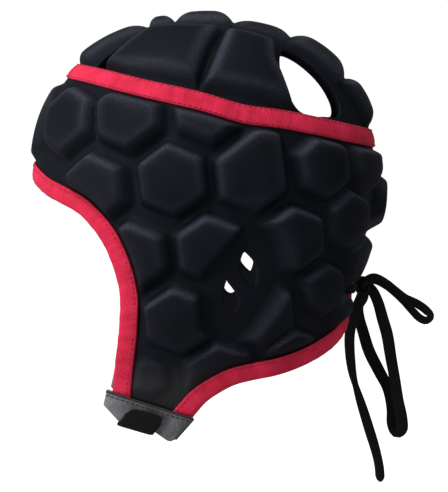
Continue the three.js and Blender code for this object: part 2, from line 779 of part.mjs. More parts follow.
function makeBodyPanel() {
  const sheet = formSolid(WALL).subtract(formSolid(0, CUT_FOOT)).intersect(seamBlock(-GAP / 2, false));
  let panel = sheet.subtract(faceCutter(EDGE_INSET)).subtract(neckCutter(EDGE_INSET));
  const leftPads = LEFT_PADS.map(bodyPad).filter(Boolean);
  const middlePads = MIDDLE_PADS.map(bodyPad).filter(Boolean);
  panel = wasm.Manifold.union([panel, ...bothSides(leftPads), ...middlePads]);
  const vents = EAR_VENTS.map((vent) => {
    const frame = frameAt(atTurn(vent.turn, vent.up), THREE.MathUtils.degToRad(vent.lean));
    return plugSolid(frame, almondOutline(vent));
  });
  const hole = eyeletHole();
  return wasm.Manifold.difference([panel, ...bothSides([...vents, hole])]);
}

// A place on the nape at the height of the knot.
function atNape(across, lift = 0) {
  return onForm(new THREE.Vector3(across, NAPE_BACK, KNOT_MIDDLE.z), lift);
}

function eyeletHole() {
  const middle = atNape(EYELET_ACROSS);
  const outline = new THREE.EllipseCurve(0, 0, EYELET_RADIUS, EYELET_RADIUS).getPoints(8).slice(0, 8);
  return plugSolid(frameAt(middle), outline);
}

function planOutline(corners) {
  const places = corners.map((corner) => inPlan(corner.across, corner.back));
  const centre = places.reduce((sum, point) => sum.add(point), new THREE.Vector3());
  const frame = frameAt(onForm(centre.divideScalar(places.length)));
  const flat = places.map((point) => flatPoint(frame, point));
  const outline = outlineArea(flat) < 0 ? flat.reverse() : flat;
  return { frame, outline };
}

function crownPad(corners, rise = 1, bevel = 1) {
  const { frame, outline } = planOutline(corners);
  return padSolid(frame, trimmed(outline, frame, crownTapeLine, 1, true), rise, bevel);
}

function frontVent({ tip, end, ...shape }) {
  const start = inPlan(tip.across, tip.back);
  const finish = inPlan(end.across, end.back);
  const frame = frameAt(onForm(start.clone().add(finish).multiplyScalar(0.5)));
  const axis = flatPoint(frame, start).sub(flatPoint(frame, finish));
  const turned = frameAt(frame.middle, Math.atan2(-axis.x, axis.y));
  const length = start.distanceTo(finish);
  return plugSolid(turned, almondOutline({ ...shape, length }));
}

function backVent() {
  const { frame, outline } = planOutline(BACK_VENT);
  return plugSolid(frame, outline);
}

function makeCrownPanel() {
  const sheet = formSolid(WALL).subtract(formSolid(0, CUT_FOOT)).intersect(seamBlock(GAP / 2, true));
  const spine = SPINE_PADS.map(({ from, to, halfFront, halfBack, rise, bevel }) => crownPad([
    { across: -halfFront, back: from },
    { across: halfFront, back: from },
    { across: halfBack, back: to },
    { across: -halfBack, back: to },
  ], rise, bevel));
  const tiles = [FRONT_TILE, BACK_TILE].map((corners) => crownPad(corners));
  const solid = wasm.Manifold.union([sheet, ...spine, ...bothSides(tiles)]);
  const vents = [frontVent(FRONT_VENT), backVent()];
  return wasm.Manifold.difference([solid, ...bothSides(vents)]);
}

function makeTape() {
  const half = TAPE_WIDTH / 2;
  const low = WALL + SEAT;
  const high = low + TAPE_THICK;
  const section = [[-half, low], [half, low], [half, high], [-half, high]];
  return sweepOnForm(tapePath, 1, section, true);
}

// Binding folded over an edge: a deep outer leaf, a round bend and an inner leaf.
function makeBinding(path, side) {
  const low = WALL + SEAT;
  const high = low + BINDING_THICK;
  const inner = -FACET_CLEARANCE;
  const deep = inner - BINDING_THICK;
  const section = [
    [BINDING_WIDTH, low],
    [BINDING_WIDTH, high],
    [0, high],
    [0, deep],
    [BINDING_INNER_WIDTH, deep],
    [BINDING_INNER_WIDTH, inner],
    [BINDING_THICK, inner],
    [BINDING_THICK, low],
  ];
  return sweepOnForm(path, side, section);
}

function sidePrism(outline) {
  const shape = new THREE.Shape(outline.map((row) => new THREE.Vector2(row.back, row.up)));
  const prism = new THREE.ExtrudeGeometry(shape, { depth: PRISM_DEPTH, bevelEnabled: false });
  const [back, up, across] = [[0, 1, 0], [0, 0, 1], [1, 0, 0]].map((row) => new THREE.Vector3(...row));
  prism.applyMatrix4(new THREE.Matrix4().makeBasis(back, up, across));
  prism.translate(PRISM_START, 0, 0);
  return solidFrom(prism);
}

// Patch folded over the end of a tab, open towards the brow side and the nape side.
function makeLeftPatch() {
  const [topFront, topBack, footBack, footFront, front] = PATCH_OUTLINE;
  const skin = formSolid(PATCH_OUTER + PATCH_THICK);
  const whole = skin.subtract(formSolid(-PATCH_INNER - PATCH_THICK, CUT_FOOT));
  const pocket = formSolid(PATCH_OUTER).subtract(formSolid(-PATCH_INNER, CUT_FOOT));
  const footRise = PATCH_THICK * 1.1;
  const footSlope = (footFront.up - footBack.up) / (footBack.back - footFront.back);
  const inner = [
    { back: topFront.back - PATCH_OPEN, up: topFront.up + PATCH_OPEN },
    { back: topBack.back + PATCH_OPEN, up: topBack.up + PATCH_OPEN },
    { back: footBack.back + PATCH_OPEN, up: footBack.up + footRise - PATCH_OPEN * footSlope },
    { back: footBack.back, up: footBack.up + footRise },
    { back: footFront.back, up: footFront.up + footRise },
    { back: front.back - PATCH_OPEN, up: footFront.up + footRise + PATCH_OPEN * footSlope },
  ];
  return whole.intersect(sidePrism(PATCH_OUTLINE)).subtract(pocket.intersect(sidePrism(inner)));
}

// Strap: up the outside of each patch, round its foot and straight across under the chin.
function makeStrap() {
  const front = STRAP_EDGE_FRONT;
  const back = STRAP_EDGE_BACK;
  const spot = (share, rise, lift) => {
    const y = THREE.MathUtils.lerp(front.back, back.back, share) + STRAP_RISE.y * rise;
    const z = THREE.MathUtils.lerp(front.up, back.up, share) + STRAP_RISE.z * rise;
    return onLeftSide(y, z, lift);
  };
  const left = STRAP_ROUTE.map((row) => {
    const near = STRAP_SHARES.map((share) => spot(share, row.nearRise, row.nearLift));
    const far = STRAP_SHARES.map((share) => spot(share, row.farRise, row.farLift));
    return [...near, ...far.reverse()];
  });
  const edge = left.at(-1);
  const spans = STRAP_SPANS.map((share) => edge.map((point) => {
    const sag = STRAP_SAG * (1 - share * share);
    return new THREE.Vector3(point.x * share, point.y, point.z - sag);
  }));
  const half = [...left, ...spans];
  const rings = [...half, ...half.slice(0, -1).reverse().map(flipped)];
  const count = rings[0].length;
  const capFaces = [];
  for (let at = 0; at < count / 2 - 1; at += 1) {
    capFaces.push([at, at + 1, count - 2 - at], [at, count - 2 - at, count - 1 - at]);
  }
  return solidFrom(loft(rings, { capFaces }));
}

function knotSolid(swell) {
  const ball = new THREE.SphereGeometry(1, 10, 6);
  ball.scale(KNOT_RADII.x + swell, KNOT_RADII.y + swell, KNOT_RADII.z + swell);
  ball.translate(KNOT_MIDDLE.x, KNOT_MIDDLE.y, KNOT_MIDDLE.z);
  return solidFrom(ball);
}

function laceTube(points, lyingFlat = false) {
  const curve = new THREE.CatmullRomCurve3(points);
  const [thick, wide] = [LACE_THICK / 2, LACE_WIDTH / 2];
  const radii = lyingFlat ? [wide, thick] : [thick, wide];
  const oval = new THREE.EllipseCurve(0, 0, ...radii);
  const section = new THREE.Shape(oval.getPoints(LACE_SIDES).slice(0, LACE_SIDES));
  const steps = Math.round(curve.getLength() / (lyingFlat ? BRIDGE_STEP : LACE_STEP));
  const tube = new THREE.ExtrudeGeometry(section, { steps, extrudePath: curve, bevelEnabled: false });
  return solidFrom(tube);
}

function routePoints(route, shift = 0) {
  return route.map((row) => new THREE.Vector3(row[0] + shift, row[1], row[2]));
}

function freeLace(points) {
  return laceTube(points).subtract(knotSolid(KNOT_GAP));
}

// The lace lies over the slit and dips into an eyelet hole on each side.
function makeBridge() {
  const left = BRIDGE_ROUTE.map((row) => atNape(row.across, row.lift));
  const crest = atNape(0, BRIDGE_LIFT);
  const tube = laceTube([...left, crest, ...flipped(left).reverse()], true);
  return tube.subtract(knotSolid(KNOT_GAP));
}

const group = new THREE.Group();

function addPiece(name, solid, finish) {
  const mesh = new THREE.Mesh(geometryFrom(solid), new THREE.MeshStandardMaterial(finish));
  mesh.name = name;
  group.add(mesh);
}

const leftPatch = makeLeftPatch();
addPiece('body_panel', makeBodyPanel(), BLACK_KNIT);
addPiece('crown_panel', makeCrownPanel(), BLACK_KNIT);
addPiece('crown_tape', makeTape(), RED);
addPiece('face_binding', makeBinding(facePath, FACE_SIDE), RED);
addPiece('neck_binding', makeBinding(neckPath, NECK_SIDE), RED);
addPiece('chin_patch_left', leftPatch, GREY_LEATHER);
addPiece('chin_patch_right', mirrorSolid(leftPatch), GREY_LEATHER);
addPiece('chin_strap', makeStrap(), BLACK_WEBBING);
addPiece('lace_bridge', makeBridge(), BLACK_WEBBING);
addPiece('lace_knot', knotSolid(0), BLACK_WEBBING);
addPiece('lace_loop_side', freeLace(routePoints(LOOP_SIDE_ROUTE)), BLACK_WEBBING);
addPiece('lace_loop_low', freeLace(routePoints(LOOP_LOW_ROUTE)), BLACK_WEBBING);
addPiece('lace_end_left', freeLace(routePoints(END_ROUTE)), BLACK_WEBBING);
addPiece('lace_end_right', freeLace(routePoints(END_ROUTE, END_RIGHT_SHIFT)), BLACK_WEBBING);

export default group;
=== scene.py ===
# Padded head guard: moulded knit-and-foam panels, a taped crown seam, bound edges,
# folded chin patches, a webbing chin strap and a flat lace tied in a bow at the nape.
import math

import bpy
import numpy as np
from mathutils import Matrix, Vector


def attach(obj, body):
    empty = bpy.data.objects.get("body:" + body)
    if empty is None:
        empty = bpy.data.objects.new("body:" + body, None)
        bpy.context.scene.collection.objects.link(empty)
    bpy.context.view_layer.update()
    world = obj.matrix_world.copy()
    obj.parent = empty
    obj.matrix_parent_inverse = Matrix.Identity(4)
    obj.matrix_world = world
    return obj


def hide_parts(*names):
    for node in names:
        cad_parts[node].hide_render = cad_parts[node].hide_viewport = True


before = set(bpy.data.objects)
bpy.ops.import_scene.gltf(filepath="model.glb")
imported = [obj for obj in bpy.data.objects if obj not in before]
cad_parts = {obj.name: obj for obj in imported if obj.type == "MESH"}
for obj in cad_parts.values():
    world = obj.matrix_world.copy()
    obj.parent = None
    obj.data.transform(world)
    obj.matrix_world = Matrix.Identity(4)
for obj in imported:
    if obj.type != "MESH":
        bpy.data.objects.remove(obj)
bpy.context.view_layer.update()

mm = 0.001  # shapes are worked out in millimetres, Blender holds metres
wholeTurn = 2 * math.pi
tiny = 1e-9


# camera, at the left side of the cap and a little above it
viewpoint = {
    "aim": (0.0, 9.76, -131.76),
    "distance": 1600.0,
    "elevation": 3.0,  # degrees
    "lens": 192.0,
    "sensor": 36.0,
}
capMiddle = Vector(viewpoint["aim"]) * mm


def placeAimed(name, data, place):
    # a camera or a light that looks at the middle of the cap
    thing = bpy.data.objects.new(name, data)
    thing.location = place
    thing.rotation_euler = (capMiddle - thing.location).to_track_quat("-Z", "Y").to_euler()
    bpy.context.scene.collection.objects.link(thing)
    return thing


def addCamera():
    rise = math.radians(viewpoint["elevation"])
    offset = Vector((math.cos(rise), 0, math.sin(rise))) * viewpoint["distance"] * mm
    data = bpy.data.cameras.new("sideCamera")
    data.lens, data.sensor_width = viewpoint["lens"], viewpoint["sensor"]
    bpy.context.scene.camera = placeAimed("sideCamera", data, capMiddle + offset)


addCamera()
print("camera placed")


# shader helpers
def feed(tree, sockets, values):
    # links each value that is a socket and sets each plain one
    for key, value in values.items():
        if isinstance(value, bpy.types.NodeSocket):
            tree.links.new(value, sockets[key])
        else:
            sockets[key].default_value = value


def put(tree, kind, inputs=None, **settings):
    node = tree.nodes.new(kind)
    for key, value in settings.items():
        setattr(node, key, value)
    feed(tree, node.inputs, inputs or {})
    return node


def calc(tree, operation, *values, clamp=False):
    inputs = dict(enumerate(values))
    return put(tree, "ShaderNodeMath", inputs, operation=operation, use_clamp=clamp).outputs[0]


def span(tree, value, low, high, toLow, toHigh):
    sockets = {"Value": value, "From Min": low, "From Max": high, "To Min": toLow, "To Max": toHigh}
    return put(tree, "ShaderNodeMapRange", sockets, clamp=True).outputs["Result"]


def blendColour(tree, factor, first, second):
    return put(tree, "ShaderNodeMix", {0: factor, 6: first, 7: second}, data_type="RGBA").outputs[2]


def noise(tree, place, scale, detail):
    sockets = {"Vector": place, "Scale": scale, "Detail": detail}
    return put(tree, "ShaderNodeTexNoise", sockets).outputs["Fac"]


def axesOf(tree, vector):
    return put(tree, "ShaderNodeSeparateXYZ", {0: vector}).outputs


def objectPlace(tree):
    return put(tree, "ShaderNodeTexCoord").outputs["Object"]


def newGroup(name, inputs, outputs):
    # an input without a value is a vector
    tree = bpy.data.node_groups.new(name, "ShaderNodeTree")
    for label, value in inputs.items():
        kind = "NodeSocketVector" if value is None else "NodeSocketFloat"
        socket = tree.interface.new_socket(label, in_out="INPUT", socket_type=kind)
        if value is not None:
            socket.default_value = value
    for label in outputs:
        tree.interface.new_socket(label, in_out="OUTPUT", socket_type="NodeSocketFloat")
    return tree, tree.nodes.new("NodeGroupInput").outputs, tree.nodes.new("NodeGroupOutput").inputs


def cellsOf(tree, given, size):
    # a place counted in cells of this size, across and along
    axes = axesOf(tree, given["Place"])
    return [calc(tree, "DIVIDE", axes[at], given[size]) for at in (0, 1)]


def swellOver(tree, cells):
    # one arch over each cell
    return calc(tree, "SINE", calc(tree, "MULTIPLY", calc(tree, "FRACT", cells), math.pi))


def knitLoopsGroup():
    # columns of v-shaped loops, from a place in millimetres
    slant = 1.3
    tree, given, made = newGroup("knitLoops", {"Place": None, "Pitch": 0.8}, ["Height"])
    across, along = cellsOf(tree, given, "Pitch")
    arm = calc(tree, "ABSOLUTE", calc(tree, "SUBTRACT", calc(tree, "FRACT", across), 0.5))
    swell = swellOver(tree, calc(tree, "MULTIPLY_ADD", arm, slant, along))
    feed(tree, made, {"Height": calc(tree, "MULTIPLY", swell, calc(tree, "SUBTRACT", 1.0, arm))})
    return tree


def plainWeaveGroup():
    # over-and-under threads, from a place in millimetres
    tree, given, made = newGroup("plainWeave", {"Place": None, "Thread": 0.6}, ["Height"])
    across, along = cellsOf(tree, given, "Thread")
    cell = calc(tree, "ADD", calc(tree, "FLOOR", across), calc(tree, "FLOOR", along))
    over = calc(tree, "FLOORED_MODULO", cell, 2.0)
    threads = {0: over, 2: swellOver(tree, across), 3: swellOver(tree, along)}
    feed(tree, made, {"Height": put(tree, "ShaderNodeMix", threads, data_type="FLOAT").outputs[0]})
    return tree


def clothMottleGroup():
    # slow uneven tone of dyed cloth; Size is in metres
    fineRate = 22.0  # fine spots to a slow one
    tree, given, made = newGroup("clothMottle", {"Size": 0.02}, ["Slow", "Fine"])
    place = objectPlace(tree)
    rate = calc(tree, "DIVIDE", 1.0, given["Size"])
    quick = calc(tree, "MULTIPLY", rate, fineRate)
    slow, fine = noise(tree, place, rate, detail=3.0), noise(tree, place, quick, detail=2.0)
    feed(tree, made, {"Slow": slow, "Fine": fine})
    return tree


def leatherGrainGroup():
    # pebbled grain; Size is in metres
    pebbleEdge = 0.28
    tree, given, made = newGroup("leatherGrain", {"Size": 0.001}, ["Height", "Crease"])
    sockets = {"Vector": objectPlace(tree), "Scale": calc(tree, "DIVIDE", 1.0, given["Size"])}
    pebble = put(tree, "ShaderNodeTexVoronoi", sockets, feature="DISTANCE_TO_EDGE")
    grain = span(tree, pebble.outputs["Distance"], 0.0, pebbleEdge, 0.0, 1.0)
    feed(tree, made, {"Height": grain, "Crease": calc(tree, "SUBTRACT", 1.0, grain)})
    return tree


knitLoops = knitLoopsGroup()
plainWeave = plainWeaveGroup()
clothMottle = clothMottleGroup()
leatherGrain = leatherGrainGroup()
fineRange = (0.2, 0.8)  # where most of the fine mottle lies


def useGroup(tree, group, inputs):
    return put(tree, "ShaderNodeGroup", inputs, node_tree=group).outputs


def startMaterial(name):
    material = bpy.data.materials.new(name)
    material.use_nodes = True
    return material, material.node_tree, material.node_tree.nodes["Principled BSDF"].inputs


def makeCloth(name, paint, look):
    # paint works out the colour and the normal
    material, tree, shader = startMaterial(name)
    mottle = useGroup(tree, clothMottle, {"Size": look["mottle"]})
    colour, normal = paint(tree, mottle, look)
    rough = span(tree, mottle["Fine"], *fineRange, *look["roughness"])
    feed(tree, shader, {"Base Color": colour, "Roughness": rough, "Normal": normal, **look["shader"]})
    return material


def surfacePlace(tree):
    return put(tree, "ShaderNodeUVMap", uv_map="surface").outputs["UV"]


def weaveOf(tree, look):
    sockets = {"Place": surfacePlace(tree), "Thread": look["thread"]}
    return useGroup(tree, plainWeave, sockets)["Height"]


def markOf(tree, label):
    return put(tree, "ShaderNodeAttribute", attribute_name=label).outputs["Fac"]


def bumpFrom(tree, height, depth, under=None):
    sockets = {"Height": height, "Distance": depth, "Strength": 1.0}
    if under is not None:
        sockets["Normal"] = under
    return put(tree, "ShaderNodeBump", sockets).outputs["Normal"]


# looks: a colour ends in 1, a range is (from, to) and what these turn into, and mottle, grain
# and depth are in metres
knitLook = {
    "mottle": 0.026,
    "low": (0.0021, 0.0025, 0.0040, 1),
    "high": (0.0050, 0.0062, 0.0108, 1),
    "slow": (0.3, 0.7, 0.0, 1.0),
    "paintedGrooveShade": (0.1, 0.75, 0.95, 1.0),  # painted shade: a little darker between the pads
    "shares": (0.5, 0.5),  # of mottle and loops in the tone
    # painted highlight with some wear: the lighter colour of the pad rims
    "rimWearAndHighlight": (0.050, 0.056, 0.076, 1),
    "rimWearAndHighlightShare": (0.35, 0.75, 0.25, 0.85),
    "paintedHighlightUp": (-0.1, 0.75, 0.12, 1.0),  # painted highlight: rims that look up are made lightest
    "chin": (0.021, 0.0215, 0.0225, 1),  # painted light: the knit of the lower tab greyer, as it shows lit
    "tabPaintedLightMottle": (*fineRange, 0.6, 1.0),
    "pitch": 0.85,
    "depth": 0.00012,
    "roughness": (0.42, 0.54),
    "shader": {"Specular IOR Level": 0.06, "Sheen Weight": 0.005, "Sheen Roughness": 0.4,
               "Sheen Tint": (0.72, 0.78, 0.92, 1)},
}


def paintKnit(tree, mottle, look):
    knit = useGroup(tree, knitLoops, {"Place": surfacePlace(tree), "Pitch": look["pitch"]})["Height"]
    ofMottle, ofLoops = look["shares"]
    tone = span(tree, mottle["Slow"], *look["slow"])
    tone = calc(tree, "MULTIPLY_ADD", tone, ofMottle, calc(tree, "MULTIPLY", knit, ofLoops))
    # painted shade: the knit darker where the pads are low, between them
    deep = span(tree, markOf(tree, "padTop"), *look["paintedGrooveShade"])
    cloth = blendColour(tree, calc(tree, "MULTIPLY", tone, deep), look["low"], look["high"])
    # painted light: the lower tab greyer, unevenly
    chin = span(tree, mottle["Fine"], *look["tabPaintedLightMottle"])
    cloth = blendColour(tree, calc(tree, "MULTIPLY", markOf(tree, "tabRub"), chin), cloth, look["chin"])
    upward = axesOf(tree, put(tree, "ShaderNodeNewGeometry").outputs["Normal"])[2]
    # painted highlight, with some wear, on the pad rims, strongest where they look up
    rimWearAndHighlightShare = calc(tree, "MULTIPLY", markOf(tree, "padRim"), span(tree, mottle["Fine"], *look["rimWearAndHighlightShare"]))
    rimWearAndHighlightShare = calc(tree, "MULTIPLY", rimWearAndHighlightShare, span(tree, upward, *look["paintedHighlightUp"]))
    return blendColour(tree, rimWearAndHighlightShare, cloth, look["rimWearAndHighlight"]), bumpFrom(tree, knit, look["depth"])


tapeLook = {
    "mottle": 0.012,
    "shade": (0.40, 0.007, 0.028, 1),
    "lit": (0.78, 0.024, 0.080, 1),
    "slow": (0.3, 0.7, 0.05, 0.6),
    "threadShare": 0.45,
    "thread": 0.8,
    "depth": 0.0003,
    "pucker": (0.17, 0.03, 0.0),  # waves to a millimetre, along and across
    "puckerDepth": 0.0018,
    "roughness": (0.62, 0.8),
    "shader": {"Specular IOR Level": 0.12, "Sheen Weight": 0.05, "Sheen Roughness": 0.5,
               "Sheen Tint": (1.0, 0.5, 0.55, 1)},
}


def paintTape(tree, mottle, look):
    weave = weaveOf(tree, look)
    thread = calc(tree, "MULTIPLY", weave, look["threadShare"])
    tone = calc(tree, "ADD", span(tree, mottle["Slow"], *look["slow"]), thread, clamp=True)
    stretched = put(tree, "ShaderNodeVectorMath", {0: surfacePlace(tree), 1: look["pucker"]},
                    operation="MULTIPLY").outputs["Vector"]
    under = bumpFrom(tree, noise(tree, stretched, scale=1.0, detail=1.5), look["puckerDepth"])
    colour = blendColour(tree, tone, look["shade"], look["lit"])
    return colour, bumpFrom(tree, weave, look["depth"], under)


threadLook = {
    "mottle": 0.004,
    "depth": 0.00008,
    "roughness": (0.5, 0.72),
    "shader": {"Specular IOR Level": 0.3, "Sheen Weight": 0.1},
}


def paintThread(tree, mottle, look):
    colour = blendColour(tree, mottle["Slow"], look["shade"], look["lit"])
    return colour, bumpFrom(tree, mottle["Fine"], look["depth"])


leatherLook = {
    "mottle": 0.009,
    "base": (0.044, 0.045, 0.052, 1),
    "rubbed": (0.175, 0.177, 0.192, 1),
    "slow": (0.3, 0.72, 0.0, 1.0),
    # painted light: the front of the patch paler, as it shows lit
    "front": (0.285, 0.288, 0.31, 1),
    "frontAt": (-0.064, -0.044, 0.8, 0.0),  # painted light: metres back, from paler at the front to plain
    "crease": (0.010, 0.010, 0.012, 1),
    "creaseShare": 0.55,
    "grain": 0.0011,
    "depth": 0.00012,
    "roughness": (0.36, 0.58),
    "shader": {"Specular IOR Level": 0.42},
}


def paintLeather(tree, mottle, look):
    grain = useGroup(tree, leatherGrain, {"Size": look["grain"]})
    skin = blendColour(tree, span(tree, mottle["Slow"], *look["slow"]), look["base"], look["rubbed"])
    # painted light: the patch paler towards the front
    back = axesOf(tree, objectPlace(tree))[1]
    skin = blendColour(tree, span(tree, back, *look["frontAt"]), skin, look["front"])
    crease = calc(tree, "MULTIPLY", grain["Crease"], look["creaseShare"])
    return blendColour(tree, crease, skin, look["crease"]), bumpFrom(tree, grain["Height"], look["depth"])


webbingLook = {
    "mottle": 0.007,
    "shade": (0.002, 0.002, 0.0025, 1),
    "slow": (0.2, 0.8, 0.5, 1.0),
    "roughness": (0.7, 0.9),
    "shader": {"Specular IOR Level": 0.12, "Sheen Weight": 0.02, "Sheen Roughness": 0.45},
}


def paintWebbing(tree, mottle, look):
    weave = weaveOf(tree, look)
    tone = calc(tree, "MULTIPLY", weave, span(tree, mottle["Slow"], *look["slow"]))
    return blendColour(tree, tone, look["shade"], look["lit"]), bumpFrom(tree, weave, look["depth"])


blackKnit = makeCloth("blackKnit", paintKnit, knitLook)
redTape = makeCloth("redTape", paintTape, tapeLook)
redThread = makeCloth("redThread", paintThread, {
    **threadLook, "shade": (0.20, 0.003, 0.015, 1), "lit": (0.34, 0.006, 0.026, 1)})
blackThread = makeCloth("blackThread", paintThread, {
    **threadLook, "shade": (0.004, 0.004, 0.005, 1), "lit": (0.014, 0.014, 0.017, 1)})
greyLeather = makeCloth("greyLeather", paintLeather, leatherLook)
blackWebbing = makeCloth("blackWebbing", paintWebbing, {
    **webbingLook, "thread": 1.3, "depth": 0.0002, "lit": (0.003, 0.003, 0.004, 1)})
blackLace = makeCloth("blackLace", paintWebbing, {
    **webbingLook, "thread": 0.6, "depth": 0.0001, "lit": (0.007, 0.007, 0.008, 1)})
print("materials made")


# mesh helpers
def makePiece(name, points, faces, material, places=None, marks=None, node=None):
    mesh = bpy.data.meshes.new(name)
    mesh.from_pydata((points.reshape(-1, 3) * mm).tolist(), [], faces)
    mesh.materials.append(material)
    mesh.polygons.foreach_set("use_smooth", np.ones(len(mesh.polygons), bool))
    if places is not None:
        corners = np.empty(len(mesh.loops), np.int32)
        mesh.loops.foreach_get("vertex_index", corners)
        layer = mesh.uv_layers.new(name="surface")
        layer.data.foreach_set("uv", places.reshape(-1, 2).astype(np.float32)[corners].ravel())
    for label, values in (marks or {}).items():
        layer = mesh.attributes.new(label, "FLOAT", "POINT")
        layer.data.foreach_set("value", values.astype(np.float32))
    mesh.validate()
    piece = bpy.data.objects.new(name, mesh)
    bpy.context.scene.collection.objects.link(piece)
    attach(piece, "root")
    if node:
        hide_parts(node)
    return piece


def gridCorners(rows, columns, wrapRows, wrapColumns):
    # corner numbers of each cell of a grid
    down, over = np.arange(rows - (not wrapRows)), np.arange(columns - (not wrapColumns))
    i, j = np.meshgrid(down, over, indexing="ij")
    low, high, ahead = i * columns, (i + 1) % rows * columns, (j + 1) % columns
    return np.stack([low + j, low + ahead, high + ahead, high + j], -1).reshape(-1, 4)


def tubeFaces(rings, sides, loop=False):
    faces = [tuple(face) for face in gridCorners(rings, sides, loop, True).tolist()]
    if not loop:
        faces += [tuple(range(sides - 1, -1, -1)), tuple(range((rings - 1) * sides, rings * sides))]
    return faces


def repeatFaces(faces, count, step):
    return [tuple(corner + at * step for corner in face) for at in range(count) for face in faces]


def tubePiece(name, rings, material, places=None, node=None, loop=False):
    return makePiece(name, rings, tubeFaces(*rings.shape[:2], loop), material, places, node=node)


def unit(vectors):
    return vectors / np.maximum(np.linalg.norm(vectors, axis=-1, keepdims=True), tiny)


def around(sides):
    return np.linspace(0, wholeTurn, sides, endpoint=False)


def runLengths(points, loop=False):
    ahead = np.roll(points, -1, 0) if loop else points[1:]
    steps = np.linalg.norm(ahead - points[:len(ahead)], axis=1)
    return np.concatenate([[0], np.cumsum(steps)])


def between(marks, stops, rows):
    return np.stack([np.interp(marks, stops, column) for column in np.asarray(rows, float).T], -1)


def evenRun(points, step):
    length = runLengths(points)
    count = max(2, int(round(length[-1] / step)))
    return between(np.linspace(0, length[-1], count + 1), length, points)


def smoothRun(rows, step):
    # centripetal Catmull-Rom through the rows, evenly spaced
    stepsEach = 24
    rows = np.asarray(rows, float)
    knots = np.vstack([2 * rows[0] - rows[1], rows, 2 * rows[-1] - rows[-2]])
    share = np.linspace(0, 1, stepsEach, endpoint=False)[:, None]
    pieces = []
    for a, b, c, d in zip(knots, knots[1:], knots[2:], knots[3:]):
        t1 = np.linalg.norm(b - a) ** 0.5
        t2 = t1 + np.linalg.norm(c - b) ** 0.5
        t3 = t2 + np.linalg.norm(d - c) ** 0.5
        t = t1 + share * (t2 - t1)
        ab = a + (b - a) * t / t1
        bc = b + (c - b) * (t - t1) / (t2 - t1)
        cd = c + (d - c) * (t - t2) / (t3 - t2)
        abc = ab + (bc - ab) * t / t2
        bcd = bc + (cd - bc) * (t - t1) / (t3 - t1)
        pieces.append(abc + (bcd - abc) * (t - t1) / (t2 - t1))
    return evenRun(np.vstack(pieces + [rows[-1:]]), step)


def tangents(points, loop=False):
    if loop:
        return unit(np.roll(points, -1, 0) - np.roll(points, 1, 0))
    return unit(np.gradient(points, axis=0))


def ringsRound(run, wide, thin, halves, sides, powers=(1, 1)):
    # a rounded section of these half sizes, carried along the run
    rings = run[:, None]
    waves = (np.cos(around(sides)), np.sin(around(sides)))
    for way, half, wave, power in zip((wide, thin), halves, waves, powers):
        reach = np.sign(wave) * np.abs(wave) ** power
        rings = rings + half * reach[None, :, None] * way[:, None]
    return rings


def gridPlaces(along, girth, sides):
    # (length along, distance round) on a tube, for the weave
    return np.stack(np.meshgrid(along, np.linspace(0, girth, sides, endpoint=False), indexing="ij"), -1)


def flipSide(points):
    return points * np.array((-1.0, 1, 1))


# the lace: flat cords, given from the knot outwards (across, back, up)
laceCord = {
    "width": 6.0, "thick": 1.9, "step": 1.5, "sides": 20,
    "powers": (0.7, 0.9),  # squareness of the section
    "tip": 3.0, "tipShare": 0.35,
    "uneven": 0.04, "unevenRate": 0.11, "unevenFrom": 1.0,  # slow change of width
}
endRoute = [
    (2.4, 95, -163.2), (2.5, 91, -169.6), (2.6, 88.4, -177), (2.6, 86.6, -186), (2.6, 86.8, -198),
    (2.6, 88.6, -211), (2.6, 91.6, -221.5), (2.6, 95.2, -233), (2.6, 98.8, -244.6),
    (2.6, 102.4, -256.4), (2.6, 104.8, -267), (2.6, 105.5, -276),
]
endTurns = (25, 10, 12, 20, 56, 15, 8, 20, 12)
endsApart = 4.8
laceRuns = {
    "lace_loop_side": {
        "route": [
            (3, 96.5, -152.5), (3.5, 101.1, -150.4), (4, 108.7, -154), (4.5, 114.8, -159),
            (5.2, 120.2, -163.2), (6.2, 127, -166.5), (8.2, 132.4, -170.3), (11.2, 134.8, -173.8),
            (13.6, 132.2, -176.2),
            (14.2, 128.4, -174.8), (13.4, 124, -170.5), (12, 119.4, -165.4), (10.8, 114.1, -160.3),
            (9.6, 108, -155.4), (8.4, 101.4, -152.4), (6.8, 96.8, -153.6),
        ],
        "tuck": [(1.5, 95.2, -155.6), (3.5, 94.6, -156.4)],  # hidden starts inside the knot
        "turns": (42, 46, 48, 44, 36, 34, 36, 44, 48, 46, 42),  # degrees, from flat to the side view
        "farEnd": "object",
    },
    "lace_loop_low": {
        "route": [
            (1.5, 99.4, -158), (3, 103.2, -165), (4, 106.4, -176), (4.5, 109.2, -186),
            (4.5, 111.5, -199.8), (4.5, 114, -213.5), (4.2, 115.9, -225.7), (3.2, 118.2, -237),
            (1.2, 118.4, -244), (-1.6, 115.6, -246), (-4, 113.2, -241.5), (-5, 112.8, -231.8),
            (-5.6, 110.3, -219.6), (-6.3, 104.9, -208.9), (-6.6, 98.8, -196.7), (-7, 95, -184.5),
            (-7.2, 92.4, -175), (-7.4, 92, -169), (-7, 94, -163.6), (-5.6, 95, -160.4),
        ],
        "tuck": [(0.4, 95.4, -156.2), (-2.6, 94.8, -157.4)],
        "turns": (20, 5, 0, 0, 0, 0, 0, 0, 0, 0, 20),
        "spread": 1.17,  # share of the usual width
        "farEnd": "object",
    },
    "lace_end_left": {
        "route": endRoute,
        "tuck": [(1.4, 95.6, -158.2)],
        "turns": endTurns,
        "farEnd": "bare",
    },
    "lace_end_right": {
        "route": [(across - endsApart, back, up) for across, back, up in endRoute],
        "tuck": [(-1.4, 95.6, -158.2)],
        "turns": [-turn for turn in endTurns],
        "farEnd": "bare",
    },
}


